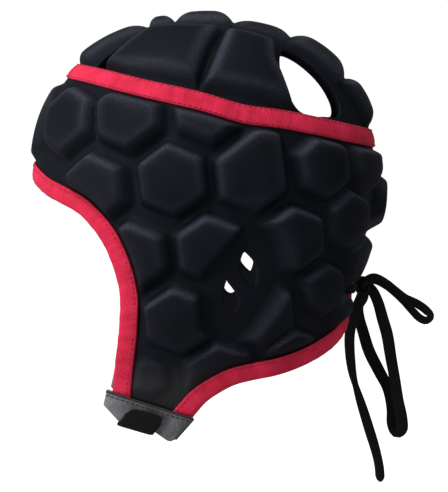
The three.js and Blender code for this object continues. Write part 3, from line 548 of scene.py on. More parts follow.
def makeLace(name, row):
    run = smoothRun(row["tuck"][:1] + row["route"] + row["tuck"][1:], laceCord["step"])
    length, along = runLengths(run), tangents(run)
    flat = unit(np.cross(along, (1.0, 0, 0)))
    proud = np.cross(flat, along)
    turns = np.interp(np.linspace(0, 1, len(run)), np.linspace(0, 1, len(row["turns"])), row["turns"])
    cosine, sine = np.cos(np.radians(turns))[:, None], np.sin(np.radians(turns))[:, None]
    wide, thin = flat * cosine + proud * sine, proud * cosine - flat * sine
    halves = np.tile((laceCord["width"], laceCord["thick"]), (len(run), 1)) / 2
    halves[:, 0] *= row.get("spread", 1.0)
    wave = np.sin(length * laceCord["unevenRate"] + laceCord["unevenFrom"])
    halves[:, 0] *= 1 - laceCord["uneven"] * wave
    if row["farEnd"] == "bare":
        left = np.clip((length[-1] - length) / laceCord["tip"], 0, 1)[:, None]
        halves *= laceCord["tipShare"] + (1 - laceCord["tipShare"]) * np.sqrt(left)
    sides = laceCord["sides"]
    rings = ringsRound(run, wide, thin, halves.T[..., None, None], sides, laceCord["powers"])
    places = gridPlaces(length, 2 * laceCord["width"], sides)
    return tubePiece(f"{name}_cord", rings, blackLace, places, name), run


laces = {name: makeLace(name, row) for name, row in laceRuns.items()}
print("lace cords made")


# the inside of the cap: level sections of a head, closed above the belt by a dome
formShape = {
    "up": (-275, -240, -215, -190, -165, -145, -125, -110, -95),
    "halfWidth": (37, 53, 61.5, 68.5, 74, 76.5, 77.7, 78, 78),
    "front": (96, 100, 101.5, 101.5, 101.5, 101.5, 101.5, 101.5, 101.5),
    "back": (78, 78, 79, 80, 82, 85.5, 92.5, 97, 98.5),
}
beltUp, domeRise = -95.0, 95.0
sectionPower, domePower = 2.2, 2.35


def sectionSizes(up):
    # half width, front and back of the section at this height, through the table with smooth joins
    ups = np.array(formShape["up"], float)
    last = len(ups) - 1
    height = np.clip(up, ups[0], ups[-1])
    index = np.clip(np.searchsorted(ups, height, side="right") - 1, 0, last - 1)
    step = ups[index + 1] - ups[index]
    t = (height - ups[index]) / step
    before = np.maximum(np.arange(last + 1) - 1, 0)
    after = np.minimum(np.arange(last + 1) + 1, last)
    sizes = []
    for column in ("halfWidth", "front", "back"):
        values = np.array(formShape[column], float)
        slope = (values[after] - values[before]) / (ups[after] - ups[before])
        near = (1 + 2 * t) * (1 - t) ** 2 * values[index]
        far = t * t * (3 - 2 * t) * values[index + 1]
        bend = t * (1 - t) ** 2 * slope[index] + t * t * (t - 1) * slope[index + 1]
        sizes.append(near + far + step * bend)
    return sizes


def restOf(share, power):
    # the other side of a rounded section, as shares of 1
    return np.maximum(0, 1 - share ** power) ** (1 / power)


def fullness(points):
    # 1 on the form and less inside it
    x, y, z = points[..., 0], points[..., 1], points[..., 2]
    halfWidth, front, back = sectionSizes(z)
    reach = np.where(y < 0, front, back)
    level = (np.abs(x / halfWidth) ** sectionPower + np.abs(y / reach) ** sectionPower) ** (1 / sectionPower)
    rise = np.maximum(0, (z - beltUp) / domeRise)
    return (level ** domePower + rise ** domePower) ** (1 / domePower)


def steepest(points):
    step = 0.01
    slopes = [fullness(points + shift) - fullness(points - shift) for shift in np.eye(3) * step]
    return np.stack(slopes, -1) / (2 * step)


def normalAt(points):
    return unit(steepest(points))


def onForm(points, lift=0.0):
    anchor = np.zeros_like(points)
    anchor[..., 2] = np.minimum(points[..., 2], beltUp)
    ray = (points - anchor) / fullness(points)[..., None]
    growth = 1 + lift * np.linalg.norm(steepest(anchor + ray), axis=-1)
    return anchor + ray * growth[..., None]


def atTurn(turn, up):
    # turn is in degrees from the face towards the wearer's left
    turn, up = np.broadcast_arrays(np.asarray(turn, float), np.asarray(up, float))
    angle = np.radians(turn)
    level = restOf(np.maximum(0, (up - beltUp) / domeRise), domePower)
    ray = np.stack([np.sin(angle), -np.cos(angle), np.minimum(up, beltUp)], -1)
    scale = level / fullness(ray)
    return onForm(np.stack([ray[..., 0] * scale, ray[..., 1] * scale, up], -1))


def inPlan(across, back):
    across, back = np.asarray(across, float), np.asarray(back, float)
    level = fullness(np.stack([across, back, np.full_like(across, beltUp)], -1))
    return onForm(np.stack([across, back, beltUp + domeRise * restOf(level, domePower)], -1))


def onLeftSide(back, up, lift=0.0):
    # the raised place on the left that shows at this spot in side view
    back, up, lift = np.broadcast_arrays(*(np.asarray(value, float) for value in (back, up, lift)))
    rounds = 4  # enough to settle
    halfWidth, front, rear = sectionSizes(up)
    start = back.copy()
    for _ in range(rounds):
        reach = np.where(start < 0, front, rear)
        across = halfWidth * restOf(np.abs(start / reach), sectionPower)
        point = onForm(np.stack([across, start, up], -1), lift)
        start = start + back - point[..., 1]
    return point


# the free edge on the wearer's left, from the brow round the tab to the top of the nape slit
freeEdge = {
    "face": ((0, -91.5), (12, -94.8), (22.6, -100.5), (31.4, -105), (39.5, -111), (46.8, -123), (51.6, -138),
             (54, -155), (52.9, -173), (49.4, -194), (45.6, -214), (44.4, -221)),  # (turn, up)
    "foot": ((46.5, -230.2), (67, -242)),
    "neck": ((76, -236), (81.9, -229.5), (89.4, -220.5), (96.7, -214.6), (104.3, -210), (113.8, -207.2),
             (123.9, -205), (135.3, -200.8), (146.7, -195), (156, -190), (165, -184.5), (172, -181.2)),
    "slit": ((174.2, -179.5), (175.0, -172), (175.8, -164), (176.4, -158.5), (176.9, -154.8),
             (178.0, -152.6), (180, -152)),
    "step": 1.6,
    "inset": 2.0,  # the foam stops this far inside the fold of the binding
}


def edgeRun(rows, spaced=smoothRun):
    return onForm(spaced(atTurn(*np.array(rows, float).T), freeEdge["step"]))


faceRun = edgeRun(freeEdge["face"])
neckRun = edgeRun(freeEdge["neck"] + freeEdge["slit"])
footRun = edgeRun(freeEdge["face"][-1:] + freeEdge["foot"] + freeEdge["neck"][:1], evenRun)
wholeEdge = np.vstack([faceRun, footRun[1:-1], neckRun])


def inwardFrom(run, loop=False, soften=0):
    # along the form, square to the run, towards the panel
    inward = -np.cross(tangents(run, loop), normalAt(run))
    for _ in range(soften):
        middle = np.roll(inward, 1, 0) + np.roll(inward, -1, 0) + 2 * inward
        inward = unit(middle if loop else np.vstack([inward[:1], middle[1:-1], inward[-1:]]))
    return unit(inward)


def distanceToRun(points, run, inward):
    # signed distance to a dense run, more than nought on the inward side
    gap = np.empty(len(points))
    blockSize = 4000
    for start in range(0, len(points), blockSize):
        block = points[start:start + blockSize]
        reach = ((block[:, None, :] - run[None]) ** 2).sum(-1)
        nearest = np.clip(reach.argmin(1), 1, len(run) - 2)
        best = np.full(len(block), np.inf)
        side = np.zeros(len(block))
        for first in (nearest - 1, nearest):
            base = run[first]
            leg = run[first + 1] - base
            share = np.clip(((block - base) * leg).sum(1) / (leg * leg).sum(1), 0, 1)[:, None]
            arm = block - base - share * leg
            lean = inward[first] * (1 - share) + inward[first + 1] * share
            far = np.linalg.norm(arm, axis=1)
            closer = far < best
            best = np.where(closer, far, best)
            side = np.where(closer, (arm * lean).sum(1), side)
        gap[start:start + blockSize] = np.where(side < 0, -best, best)
    return gap


edgeInward = inwardFrom(wholeEdge, soften=3)


# the crown seam lies in a plane that falls towards the nape
seam = {
    "up": -46.2, "fall": math.radians(12.1), "gap": 0.3, "tapeWidth": 10.8, "tapeStations": 360,
    "leastSlope": 0.05,  # keeps distances finite where the form lies along the plane
    "highest": -1.0, "halvings": 40,  # search for the seam
}
tapeStray = {
    "front": 2.3, "frontAt": -52.0, "frontEase": 9.0,
    "dip": 2.3, "dipAt": 20.0, "dipHalf": 17.0, "drop": 0.3,
}


def seamDistance(points):
    # along the form, more than nought above the seam
    across = np.array((0, math.sin(seam["fall"]), math.cos(seam["fall"])))
    height = points @ across - seam["up"] * math.cos(seam["fall"])
    return height / np.sqrt(np.maximum(seam["leastSlope"], 1 - (normalAt(points) @ across) ** 2))


def tapeStrayAt(points):
    # up at the brow, down above the ear
    back = points[:, 1]
    front = tapeStray["front"] / (1 + np.exp((back - tapeStray["frontAt"]) / tapeStray["frontEase"]))
    dip = tapeStray["dip"] * np.exp(-((back - tapeStray["dipAt"]) / tapeStray["dipHalf"]) ** 2)
    return front - dip - tapeStray["drop"]


def tapeDistance(points):
    return seamDistance(points) - tapeStrayAt(points)


# raised pads
padShape = {
    "wall": 3.2,  # thickness of the sheet that carries them
    "flats": 40.0, "tilt": math.radians(7.0), "height": 7.2, "bevel": 6.4, "toe": 1.2, "round": 0.9,
    "crown": 0.8, "crownFrom": 3.0, "crownEase": 7.0,  # slight swell of the flat top
    "rimAt": (3.9, 2.0), "rimFade": 1.7,  # rim painted lighter, for wear and a painted highlight: depth, half width, and its growth onto the top
    "near": 0.75, "nearStretch": 1.3, "wrap": 0.6,  # how far round a pad its points are looked for
}
padTable = {  # turn, up, size and rise as shares of the full pad, left side and middle line
    "turn": (31.5, 57.7, 90.4, 46.7, 76.4, 107.3, 135.4, 158.8, 61.3, 91.5, 124.1, 147.2, 77.9, 113, 140.5,
             161, 62.5, 96.6, 129.5, 154.5, 0, 180),
    "up": (-57.5, -55, -51, -95.4, -90.2, -87.6, -83, -79.5, -133.9, -129.5, -124.2, -114, -171.6, -168,
           -154.4, -138, -206, -204.5, -193.5, -168.5, -59, -105),
    "size": (1, 1, 1, 1, 1, 1.03, 0.92, 0.85, 1, 1, 0.98, 0.93, 1, 1, 0.82,
             0.8, 0.62, 1, 0.85, 0.62, 1.18, 0.8),
    "rise": (1, 1, 1, 1, 1, 1, 1, 1, 1, 1, 1, 1, 1, 0.8, 1,
             1, 0.35, 0.7, 0.9, 1, 0.55, 1),
}
padStretch = {  # by turn and up: millimetres added to the six sides, from the back one upwards
    (107.3, -87.6): (0, 8.5, 0, 0, 0, 0),
}
earRecess = {
    "corners": ((25, -113), (-4, -147), (-2, -180), (15, -187), (41.5, -149), (38, -125)),  # (back, up)
    "middle": (18.0, -150.0),
    "round": 3.0,
    "deep": 30.0, "far": 99.0,  # places deeper in than this count as far off
    "split": 18.0, "before": 1.4, "behind": 0.62,  # how steeply the pads drop to it
}
binding = {"width": 11.0, "margin": 1.0}


def softLeast(distances, softness):
    least = distances.min(0)
    return least - softness * np.log(np.exp((least - distances) / softness).sum(0))


def flatFrame(middle, tilt=0.0):
    normal = normalAt(middle)
    level = unit(np.cross((0.0, 0, 1), normal))
    right = level * math.cos(tilt) + np.cross(normal, level) * math.sin(tilt)
    return middle, right, np.cross(normal, right), normal


def flatten(place, points):
    middle, right, upward, _ = place
    arm = points - middle
    return np.stack([arm @ right, arm @ upward], -1)


def squarePad(depth):
    share = np.clip((depth + padShape["toe"]) / padShape["bevel"], 0, 1)
    return share * share * (3 - 2 * share)


def raisePads(points, pads, limits):
    # lift of the pads over the sheet, and how much of it is rim painted lighter for wear and a painted
    # highlight
    lift, rim = np.zeros(len(points)), np.zeros(len(points))
    for pad in pads:
        arm = points - pad["place"][0]
        near = np.linalg.norm(arm, axis=1) < pad["reach"]
        near &= arm @ pad["place"][3] > -pad["reach"] * padShape["wrap"]
        if not near.any():
            continue
        sides = pad["sides"](flatten(pad["place"], points[near]))
        depth = softLeast(np.vstack([sides] + [limit[near][None] for limit in limits]), padShape["round"])
        swell = 1 - np.exp(-np.maximum(0, depth - padShape["crownFrom"]) / padShape["crownEase"])
        height = (pad["profile"](depth) * padShape["height"] + padShape["crown"] * swell) * pad["rise"]
        better = height > lift[near]
        lift[near] = np.where(better, height, lift[near])
        rimMiddle, rimHalf = pad["rimAt"]
        fade = np.where(depth > rimMiddle, rimHalf * padShape["rimFade"], rimHalf)
        edge = np.exp(-((depth - rimMiddle) / fade) ** 2) * pad["rise"]
        rim[near] = np.where(better, edge, rim[near])
    return lift, rim


def hexSides(size, stretch):
    angles = around(6)
    ways = np.stack([np.cos(angles), np.sin(angles)], -1)
    reach = padShape["flats"] / 2 * size + np.array(stretch, float)[:, None]
    return lambda flat: reach - ways @ flat.T


def bodyPads():
    # those on the middle line aren't tilted
    pads = []
    for turn, up, size, rise in zip(*padTable.values()):
        stretch = padStretch.get((turn, up), (0,) * 6)
        pads.append({
            "place": flatFrame(atTurn(turn, up), 0 if turn in (0, 180) else padShape["tilt"]),
            "sides": hexSides(size, stretch),
            "reach": padShape["flats"] * padShape["near"] * size + max(stretch) * padShape["nearStretch"],
            "profile": squarePad,
            "rimAt": padShape["rimAt"],
            "rise": rise,
        })
    return pads


def mirrored(points):
    return np.stack([np.abs(points[:, 0]), points[:, 1], points[:, 2]], -1)


earPlace = flatFrame(onLeftSide(*earRecess["middle"]))
earCorners = flatten(earPlace, onLeftSide(*np.array(earRecess["corners"], float).T))


def earDistance(points):
    # outside the ear recess, counted steeper or softer on its two sides
    legs = unit(np.roll(earCorners, -1, 0) - earCorners)
    arms = flatten(earPlace, points)[None] - earCorners[:, None]
    inside = softLeast(legs[:, None, 0] * arms[..., 1] - legs[:, None, 1] * arms[..., 0], earRecess["round"])
    facing = (points - earPlace[0]) @ earPlace[3] > -earRecess["deep"]
    steep = np.where(points[:, 1] > earRecess["split"], earRecess["behind"], earRecess["before"])
    return np.where(facing, -inside, earRecess["far"]) * steep


# gentle unevenness of moulded cloth, the same on every run
clothWaves = {
    "ways": ((1.0, 0.3, 0.6), (-0.5, 1.0, 0.4), (0.3, -0.7, 1.0), (0.9, 0.8, -0.5)),
    "offsets": (0.4, 2.1, 4.0, 5.3),
    "sheet": (0.10, 31.0), "bodyPads": (0.22, 47.0), "crownPads": (0.25, 44.0),  # (height, size)
}


def slowWaves(points, kind):
    height, size = clothWaves[kind]
    angles = points @ np.array(clothWaves["ways"]).T * (wholeTurn / size) + np.array(clothWaves["offsets"])
    return height * np.sin(angles).sum(-1) / len(clothWaves["offsets"])


def padSkin(points, pad, rim, waves):
    # lift of the outer skin, and its marks for the knit
    top = pad / padShape["height"]
    uneven = slowWaves(points, "sheet") + slowWaves(points, waves) * top
    return padShape["wall"] + pad + uneven, {"padRim": rim, "padTop": top}


# vents
earVents = (  # powers shape the top and the foot
    {"turn": 107.4, "up": -141.4, "length": 23, "width": 10, "lean": 15.5, "powers": (0.9, 0.9)},
    {"turn": 99.6, "up": -156.6, "length": 19.5, "width": 9.4, "lean": 12.5, "powers": (1.0, 0.5)},
)
frontVent = {"tip": (28, -36), "end": (40.5, -64), "width": 12, "powers": (0.8, 0.45)}
backVent = (  # outline in plan (across, back)
    (37, 43), (45, 40.8), (53, 41), (59, 43.5), (62.5, 49.5), (61, 55.5), (57.5, 62.5), (52, 69.5), (46, 76),
    (40.5, 77), (37.5, 70), (36.2, 60), (35.2, 50),
)
eyelet = {"across": 21.0, "back": 80.0, "up": -156.5, "radius": 3.6, "sides": 28}
ventReach = {"near": 45.0, "far": 60.0}


def almond(length, width, powers):
    # outline from tip to foot and back, closest spaced at both ends
    top, end = powers
    stations = 40
    share = 0.5 - 0.5 * np.cos(np.linspace(0, math.pi, stations))[1:-1]
    widest = top / (top + end)
    half = width / 2 * (share / widest) ** top * ((1 - share) / (1 - widest)) ** end
    right = np.stack([half, length * (0.5 - share)], -1)
    left = right[::-1] * np.array((-1, 1))
    return np.vstack([[(0, length / 2)], right, [(0, -length / 2)], left])


def outlineDistance(corners, flat):
    # signed distance to a closed outline, more than nought outside
    ahead = np.roll(corners, -1, 0)
    legs = ahead - corners
    arms = flat[:, None] - corners[None]
    share = np.clip((arms * legs).sum(-1) / (legs * legs).sum(-1), 0, 1)[..., None]
    gap = np.linalg.norm(arms - share * legs, axis=-1).min(1)
    over = (corners[None, :, 1] > flat[:, None, 1]) != (ahead[None, :, 1] > flat[:, None, 1])
    rise = np.where(np.abs(legs[:, 1]) < tiny, tiny, legs[:, 1])
    crossing = corners[:, 0] + (flat[:, None, 1] - corners[:, 1]) / rise * legs[:, 0]
    inside = (over & (flat[:, None, 0] < crossing)).sum(1) % 2 == 1
    return np.where(inside, -gap, gap)


def ventDistance(points, vents):
    gap = np.full(len(points), ventReach["far"])
    for place, corners in vents:
        near = np.linalg.norm(points - place[0], axis=1) < ventReach["near"]
        if near.any():
            gap[near] = np.minimum(gap[near], outlineDistance(corners, flatten(place, points[near])))
    return gap


def earVentShapes():
    shapes = []
    for vent in earVents:
        place = flatFrame(atTurn(vent["turn"], vent["up"]), math.radians(vent["lean"]))
        shapes.append((place, almond(vent["length"], vent["width"], vent["powers"])))
    angle = around(eyelet["sides"])
    ring = np.stack([np.cos(angle), np.sin(angle)], -1) * eyelet["radius"]
    hole = onForm(np.array((eyelet["across"], eyelet["back"], eyelet["up"])))
    return shapes + [(flatFrame(hole), ring)]


def cutCorners(corners):
    # rounds an outline by cutting its corners off, three times over
    near, far = 0.75, 0.25
    for _ in range(3):
        ahead = np.roll(corners, -1, 0)
        pairs = np.stack([corners * near + ahead * far, corners * far + ahead * near], 1)
        corners = pairs.reshape(-1, corners.shape[1])
    return corners


def crownVentShapes():
    tip, end = inPlan(*frontVent["tip"]), inPlan(*frontVent["end"])
    middle = onForm((tip + end) / 2)
    flatTip, flatEnd = flatten(flatFrame(middle), np.stack([tip, end]))
    across, up = flatTip - flatEnd
    front = flatFrame(middle, math.atan2(-across, up))
    almondShape = almond(np.linalg.norm(tip - end), frontVent["width"], frontVent["powers"])
    rim = inPlan(*np.array(backVent, float).T)
    back = flatFrame(onForm(rim.mean(0)))
    return [(front, almondShape), (back, cutCorners(flatten(back, rim)))]


# a foam panel: a grid over the form, snapped to its outline, with an outer and an inner skin
panel = {
    "snapRounds": 3, "mostMove": 0.75, "leastSlope": 1e-6,  # in cells of the grid
    "rimOut": 0.5, "rimLifts": (0.74, 0.26),  # rounding of the cut edge
}


def snapToOutline(u, v, keep, placeAt, keepField, wrap):
    marked = np.zeros(keep.shape, bool)
    for axis in (0, 1):
        ahead = np.roll(keep, -1, axis)
        crossed = keep * ahead < 0
        if axis == 0:
            crossed[-1] = False
        elif not wrap:
            crossed[:, -1] = False
        share = keep / np.where(crossed, keep - ahead, 1)
        marked |= crossed & (share <= 0.5)
        marked |= np.roll(crossed & (share > 0.5), 1, axis)
    slopeV = np.gradient(keep, axis=0)
    slopeU = (np.roll(keep, -1, 1) - np.roll(keep, 1, 1)) / 2
    size = np.maximum(slopeU ** 2 + slopeV ** 2, panel["leastSlope"])
    ways = np.stack([slopeU / size, slopeV / size])[:, marked]
    left = keep[marked]
    moves = np.zeros_like(ways)
    for _ in range(panel["snapRounds"]):
        moves = np.clip(moves - left * ways, -panel["mostMove"], panel["mostMove"])
        left = keepField(placeAt(u[marked] + moves[0], v[marked] + moves[1]))
    u[marked] += moves[0]
    v[marked] += moves[1]
    keep[marked] = 0


def keptFaces(sign, wrap):
    corners = gridCorners(*sign.shape, False, wrap)
    signs = sign.ravel()[corners]
    whole = (signs.min(1) >= 0) & (signs.max(1) > 0)
    split = (signs.min(1) < 0) & (signs.max(1) > 0)
    faces = [tuple(face) for face in corners[whole]]
    for face, marks in zip(corners[split], signs[split]):
        kept = [corner for corner, mark in zip(face, marks) if mark >= 0]
        if len(kept) == 3:
            faces.append(tuple(kept))
    return faces


def rimEdges(faces):
    edges = np.array([(face[at], face[(at + 1) % len(face)]) for face in faces for at in range(len(face))])
    size = edges.max() + 1
    forward = edges[:, 0] * size + edges[:, 1]
    backward = edges[:, 1] * size + edges[:, 0]
    return edges[~np.isin(forward, backward)]


def pullIn(skin, border, faces):
    # middle of the faces that meet each border point
    total, tally = np.zeros((len(skin), 3)), np.zeros(len(skin))
    onBorder = np.zeros(len(skin), bool)
    onBorder[border] = True
    for face in faces:
        corners = list(face)
        if onBorder[corners].any():
            total[corners] += skin[corners].mean(0)
            tally[corners] += 1
    return total[border] / tally[border][:, None]


def panelShell(name, placeAt, shape, wrap, keepField, liftField, placeScale, flip):
    rows, columns = shape
    v, u = np.meshgrid(np.arange(rows, dtype=float), np.arange(columns, dtype=float), indexing="ij")
    keep = keepField(placeAt(u.ravel(), v.ravel())).reshape(shape)
    snapToOutline(u, v, keep, placeAt, keepField, wrap)
    faces = keptFaces(np.sign(keep).astype(int), wrap)
    used = np.unique(np.concatenate([np.array(face) for face in faces]))
    count = len(used)
    renumber = np.full(rows * columns, -1)
    renumber[used] = np.arange(count)
    faces = [tuple(renumber[list(face)][::-1 if flip else 1]) for face in faces]
    grid = np.stack([u.ravel()[used], v.ravel()[used]], -1)
    skin = placeAt(*grid.T)
    lift, marks = liftField(skin)
    edges = rimEdges(faces)
    border = np.unique(edges)
    outward = unit(skin[border] - pullIn(skin, border, faces))
    rim = skin[border] + outward * panel["rimOut"]
    rounds = [onForm(rim, lift[border] * share) for share in panel["rimLifts"]]
    points = np.vstack([onForm(skin, lift), onForm(skin, 0.0)] + rounds)
    order = np.full(count, -1)
    order[border] = np.arange(len(border))
    solid = faces + [tuple(corner + count for corner in face[::-1]) for face in faces]
    first, second = 2 * count, 2 * count + len(border)
    for p, q in edges:
        a, b = order[p], order[q]
        solid.append((q, p, first + a, first + b))
        solid.append((first + b, first + a, second + a, second + b))
        solid.append((second + b, second + a, count + p, count + q))
    places = grid * placeScale
    places = np.vstack([places, places, places[border], places[border]])
    bare = np.zeros(count + 2 * len(border))
    marks = {label: np.concatenate([values, bare]) for label, values in marks.items()}
    piece = makePiece(f"{name}_knit", points, solid, blackKnit, places, marks, name)


bodyGrid = {
    "columns": 396, "rowStep": 1.32, "top": -22.0, "foot": -245.0,
    "profileTurn": 60.0, "profileSteps": 1200,  # rows are spaced evenly along this profile
    "girthStep": 1.55,  # millimetres to a degree, for the knit
}
tabRub = {"from": -195.0, "fade": 14.0}  # up, where the knit of the tab turns greyer with painted light


def makeBody():
    ups = np.linspace(bodyGrid["top"], bodyGrid["foot"], bodyGrid["profileSteps"])
    length = runLengths(atTurn(bodyGrid["profileTurn"], ups))
    rows = int(length[-1] / bodyGrid["rowStep"])
    rowUps = np.interp(np.linspace(0, length[-1], rows), length, ups)
    columns = bodyGrid["columns"]
    pads, vents = bodyPads(), earVentShapes()

    def placeAt(u, v):
        return atTurn(u * 360 / columns, np.interp(v, np.arange(rows), rowUps))

    def keepField(points):
        half = mirrored(points)
        edges = distanceToRun(half, wholeEdge, edgeInward) - freeEdge["inset"]
        below = -seamDistance(points) - seam["gap"] / 2
        return np.minimum(np.minimum(edges, below), ventDistance(half, vents))

    def liftField(points):
        half = mirrored(points)
        hem = distanceToRun(half, wholeEdge, edgeInward) - binding["width"] - binding["margin"]
        tape = -tapeDistance(points) - seam["tapeWidth"] / 2 - binding["margin"]
        pad, rim = raisePads(half, pads, [hem, tape, earDistance(half)])
        lift, marks = padSkin(points, pad, rim, "bodyPads")
        marks["tabRub"] = np.clip((tabRub["from"] - points[:, 2]) / tabRub["fade"], 0, 1)
        return lift, marks

    scale = np.array((360 / columns * bodyGrid["girthStep"], bodyGrid["rowStep"]))
    panelShell("body_panel", placeAt, (rows, columns), True, keepField, liftField, scale, True)


crownGrid = {"cells": 240, "reach": math.radians(82.0), "mostLean": math.pi / 2 - 0.02}  # from the top
spinePads = {  # front to back along the middle line, each a trapezium in plan
    "from": (-79, -31.5, -17.3, 15.5, 46.5, 77),
    "to": (-34, -20, 12.8, 44.5, 74, 91),
    "halfFront": (28, 25, 26, 29, 33, 29),
    "halfBack": (26, 25, 28, 33, 33, 22),
    "rise": (0.68, 0.9, 1, 0.45, 0.74, 0.8),
    "bevel": (13, 6.5, 12, 12, 12, 9),
}
sideTiles = (  # corners in plan (across, back)
    ((46.5, -61), (28, -32), (30.5, -18), (34, 7), (66.5, -6)),
    ((67.5, -2.5), (36, 10.5), (39, 37), (52, 38), (64, 47)),
)
pillow = {
    "powers": (2.2, 0.8),  # steep at the foot and ever flatter to the top
    "spineSwell": 2.3, "tileBevel": 8.5, "tileSwell": 1.6, "ventSteep": 2.6, "tapeSteep": 1.6,
    "tapeMargin": 0.5, "rimAt": (0.5, 0.24), "near": 8.0,
}


def crownPad(corners, rise, bevel, swell):
    places = inPlan(*np.array(corners, float).T)
    place = flatFrame(onForm(places.mean(0)))
    flat = flatten(place, places)
    foot, top = pillow["powers"]
    return {
        "place": place,
        "sides": lambda points: swell - outlineDistance(flat, points)[None],
        "reach": np.linalg.norm(flat, axis=1).max() + pillow["near"],
        "profile": lambda depth: (1 - (1 - np.clip(depth / bevel, 0, 1)) ** foot) ** top,
        "rimAt": [bevel * share for share in pillow["rimAt"]],
        "rise": rise,
    }


def crownPads():
    pads = []
    for start, end, front, back, rise, bevel in zip(*spinePads.values()):
        corners = ((-front, start), (front, start), (back, end), (-back, end))
        pads.append(crownPad(corners, rise, bevel, pillow["spineSwell"]))
    return pads + [crownPad(corners, 1.0, pillow["tileBevel"], pillow["tileSwell"]) for corners in sideTiles]


def makeCrown():
    cells, reach = crownGrid["cells"], crownGrid["reach"]
    pads, vents = crownPads(), crownVentShapes()

    def placeAt(u, v):
        a, b = ((2 * value / (cells - 1) - 1) * reach for value in (u, v))
        lean = np.minimum(np.hypot(a, b), crownGrid["mostLean"])
        spread = np.sinc(lean / math.pi)
        ray = np.stack([a * spread, b * spread, np.cos(lean)], -1) * domeRise
        ray[:, 2] += beltUp
        return onForm(ray)

    def keepField(points):
        return np.minimum(seamDistance(points) - seam["gap"] / 2, ventDistance(mirrored(points), vents))

    def liftField(points):
        half = mirrored(points)
        tape = tapeDistance(points) - seam["tapeWidth"] / 2 - pillow["tapeMargin"]
        limits = [tape * pillow["tapeSteep"], ventDistance(half, vents) * pillow["ventSteep"]]
        return padSkin(points, *raisePads(half, pads, limits), "crownPads")

    step = 2 * reach / (cells - 1) * domeRise
    panelShell("crown_panel", placeAt, (cells, cells), False, keepField, liftField, step, False)


makeBody()
print("body panel made")
makeCrown()
print("crown panel made")


# red tape and bindings
tapeStrip = {
    "section": (  # (share of half width, lift)
        (-1.0, 3.35), (-0.99, 4.1), (-0.9, 4.55), (-0.72, 4.62), (-0.45, 4.95), (0, 5.1), (0.45, 4.95),
        (0.72, 4.62), (0.9, 4.55), (0.99, 4.1), (1.0, 3.35), (0.5, 3.45), (0, 3.5), (-0.5, 3.45),
    ),
    "ripple": {"above": 4.3, "share": 0.7, "slant": 0.7},
    "stitches": (0.82, 4.72),
}
bindingStrip = {
    "section": (  # (inward from the fold, lift)
        (11.0, 3.5), (11.0, 4.3), (10.5, 4.75), (9.3, 4.7), (8.2, 4.95), (6.0, 5.2), (3.6, 5.2), (1.8, 4.9),
        (0.7, 4.2), (0.15, 2.9), (0.0, 1.2), (0.25, -0.6), (1.0, -1.9), (2.4, -2.35), (6.0, -2.35),
        (9.0, -2.2), (9.5, -1.7), (9.3, -1.25), (6.0, -1.15), (2.2, -0.9), (1.3, 0.4), (1.2, 1.6),
        (1.4, 2.9), (2.4, 3.6), (6.5, 3.55),
    ),
    "ripple": {"above": 4.0, "share": 1.0, "slant": 0.5},
    "stitches": (9.3, 4.85),
    "soften": 14,
}
pucker = {  # small ripples where the needle has drawn the tape in
    "height": 0.16,
    "waves": ((0.9, 0.0, 0.5), (0.53, 1.7, 0.6), (0.21, 0.6, 0.5)),  # (rate, offset, share)
}


def seamRun():
    turn = np.arange(seam["tapeStations"]) * 360 / seam["tapeStations"]
    low, high = np.full(len(turn), beltUp), np.full(len(turn), seam["highest"])
    for _ in range(seam["halvings"]):
        middle = (low + high) / 2
        points = atTurn(turn, middle)
        below = points[:, 2] < seam["up"] - math.tan(seam["fall"]) * points[:, 1]
        low, high = np.where(below, middle, low), np.where(below, high, middle)
    return atTurn(turn, low)


def makeStrip(name, run, inward, section, ripple, loop=False):
    # tape whose section is carried along a run on the form
    section = np.array(section, float)
    lengths = runLengths(run, loop)[:len(run)]
    rings, places = [], []
    for (reach, lift), far in zip(section, runLengths(section)):
        if lift > ripple["above"]:
            place = lengths + reach * ripple["slant"]
            waves = sum(np.sin(place * rate + offset) * share for rate, offset, share in pucker["waves"])
            lift = lift + pucker["height"] * waves * ripple["share"]
        rings.append(onForm(run + inward * reach, lift))
        places.append(np.stack([lengths, np.full(len(run), far)], -1))
    tubePiece(f"{name}_cloth", np.stack(rings, 1), redTape, np.stack(places, 1), name, loop)


stitch = {
    "pitch": 3.1, "length": 2.2, "radius": 0.36, "sides": 6,
    "profile": ((-0.5, 0.35), (-0.42, 0.8), (0, 1.0), (0.42, 0.8), (0.5, 0.35)),  # (along, girth)
    "sink": 3.84,  # of the ends, in radii at a whole length from the middle
}


def stitchRow(name, run, inward, reach, lift, material, slot, loop=False):
    # one joined mesh of short rounded stitches along a line on the form
    line = onForm(run + inward * reach, lift)
    if loop:
        line = np.vstack([line, line[:1]])
    length = runLengths(line)
    marks = np.arange(stitch["pitch"] / 2, length[-1], stitch["pitch"])
    middle = between(marks, length, line)
    along = unit(between(marks, length, tangents(line)))
    side = unit(np.cross(along, normalAt(middle)))
    normal = np.cross(side, along)
    rings = []
    for share, girth in stitch["profile"]:
        sink = -stitch["sink"] * stitch["radius"] * share ** 2
        centre = middle + along * share * stitch["length"] + normal * sink
        rings.append(ringsRound(centre, side, normal, (stitch["radius"] * girth,) * 2, stitch["sides"]))
    points = np.concatenate(rings, 1)
    faces = repeatFaces(tubeFaces(len(rings), stitch["sides"]), len(middle), points.shape[1])
    makePiece(name, points, faces, material)


def makeTape():
    run = seamRun()
    inward = inwardFrom(run, loop=True)
    run = onForm(run + inward * tapeStrayAt(run)[:, None])
    half = seam["tapeWidth"] / 2
    section = [(share * half, lift) for share, lift in tapeStrip["section"]]
    makeStrip("crown_tape", run, inward, section, tapeStrip["ripple"], loop=True)
    reach, lift = tapeStrip["stitches"]
    for label, way in (("upper", 1), ("lower", -1)):
        name = f"crown_tape_stitches_{label}"
        stitchRow(name, run, inward, way * reach * half, lift, redThread, "red_tape", True)


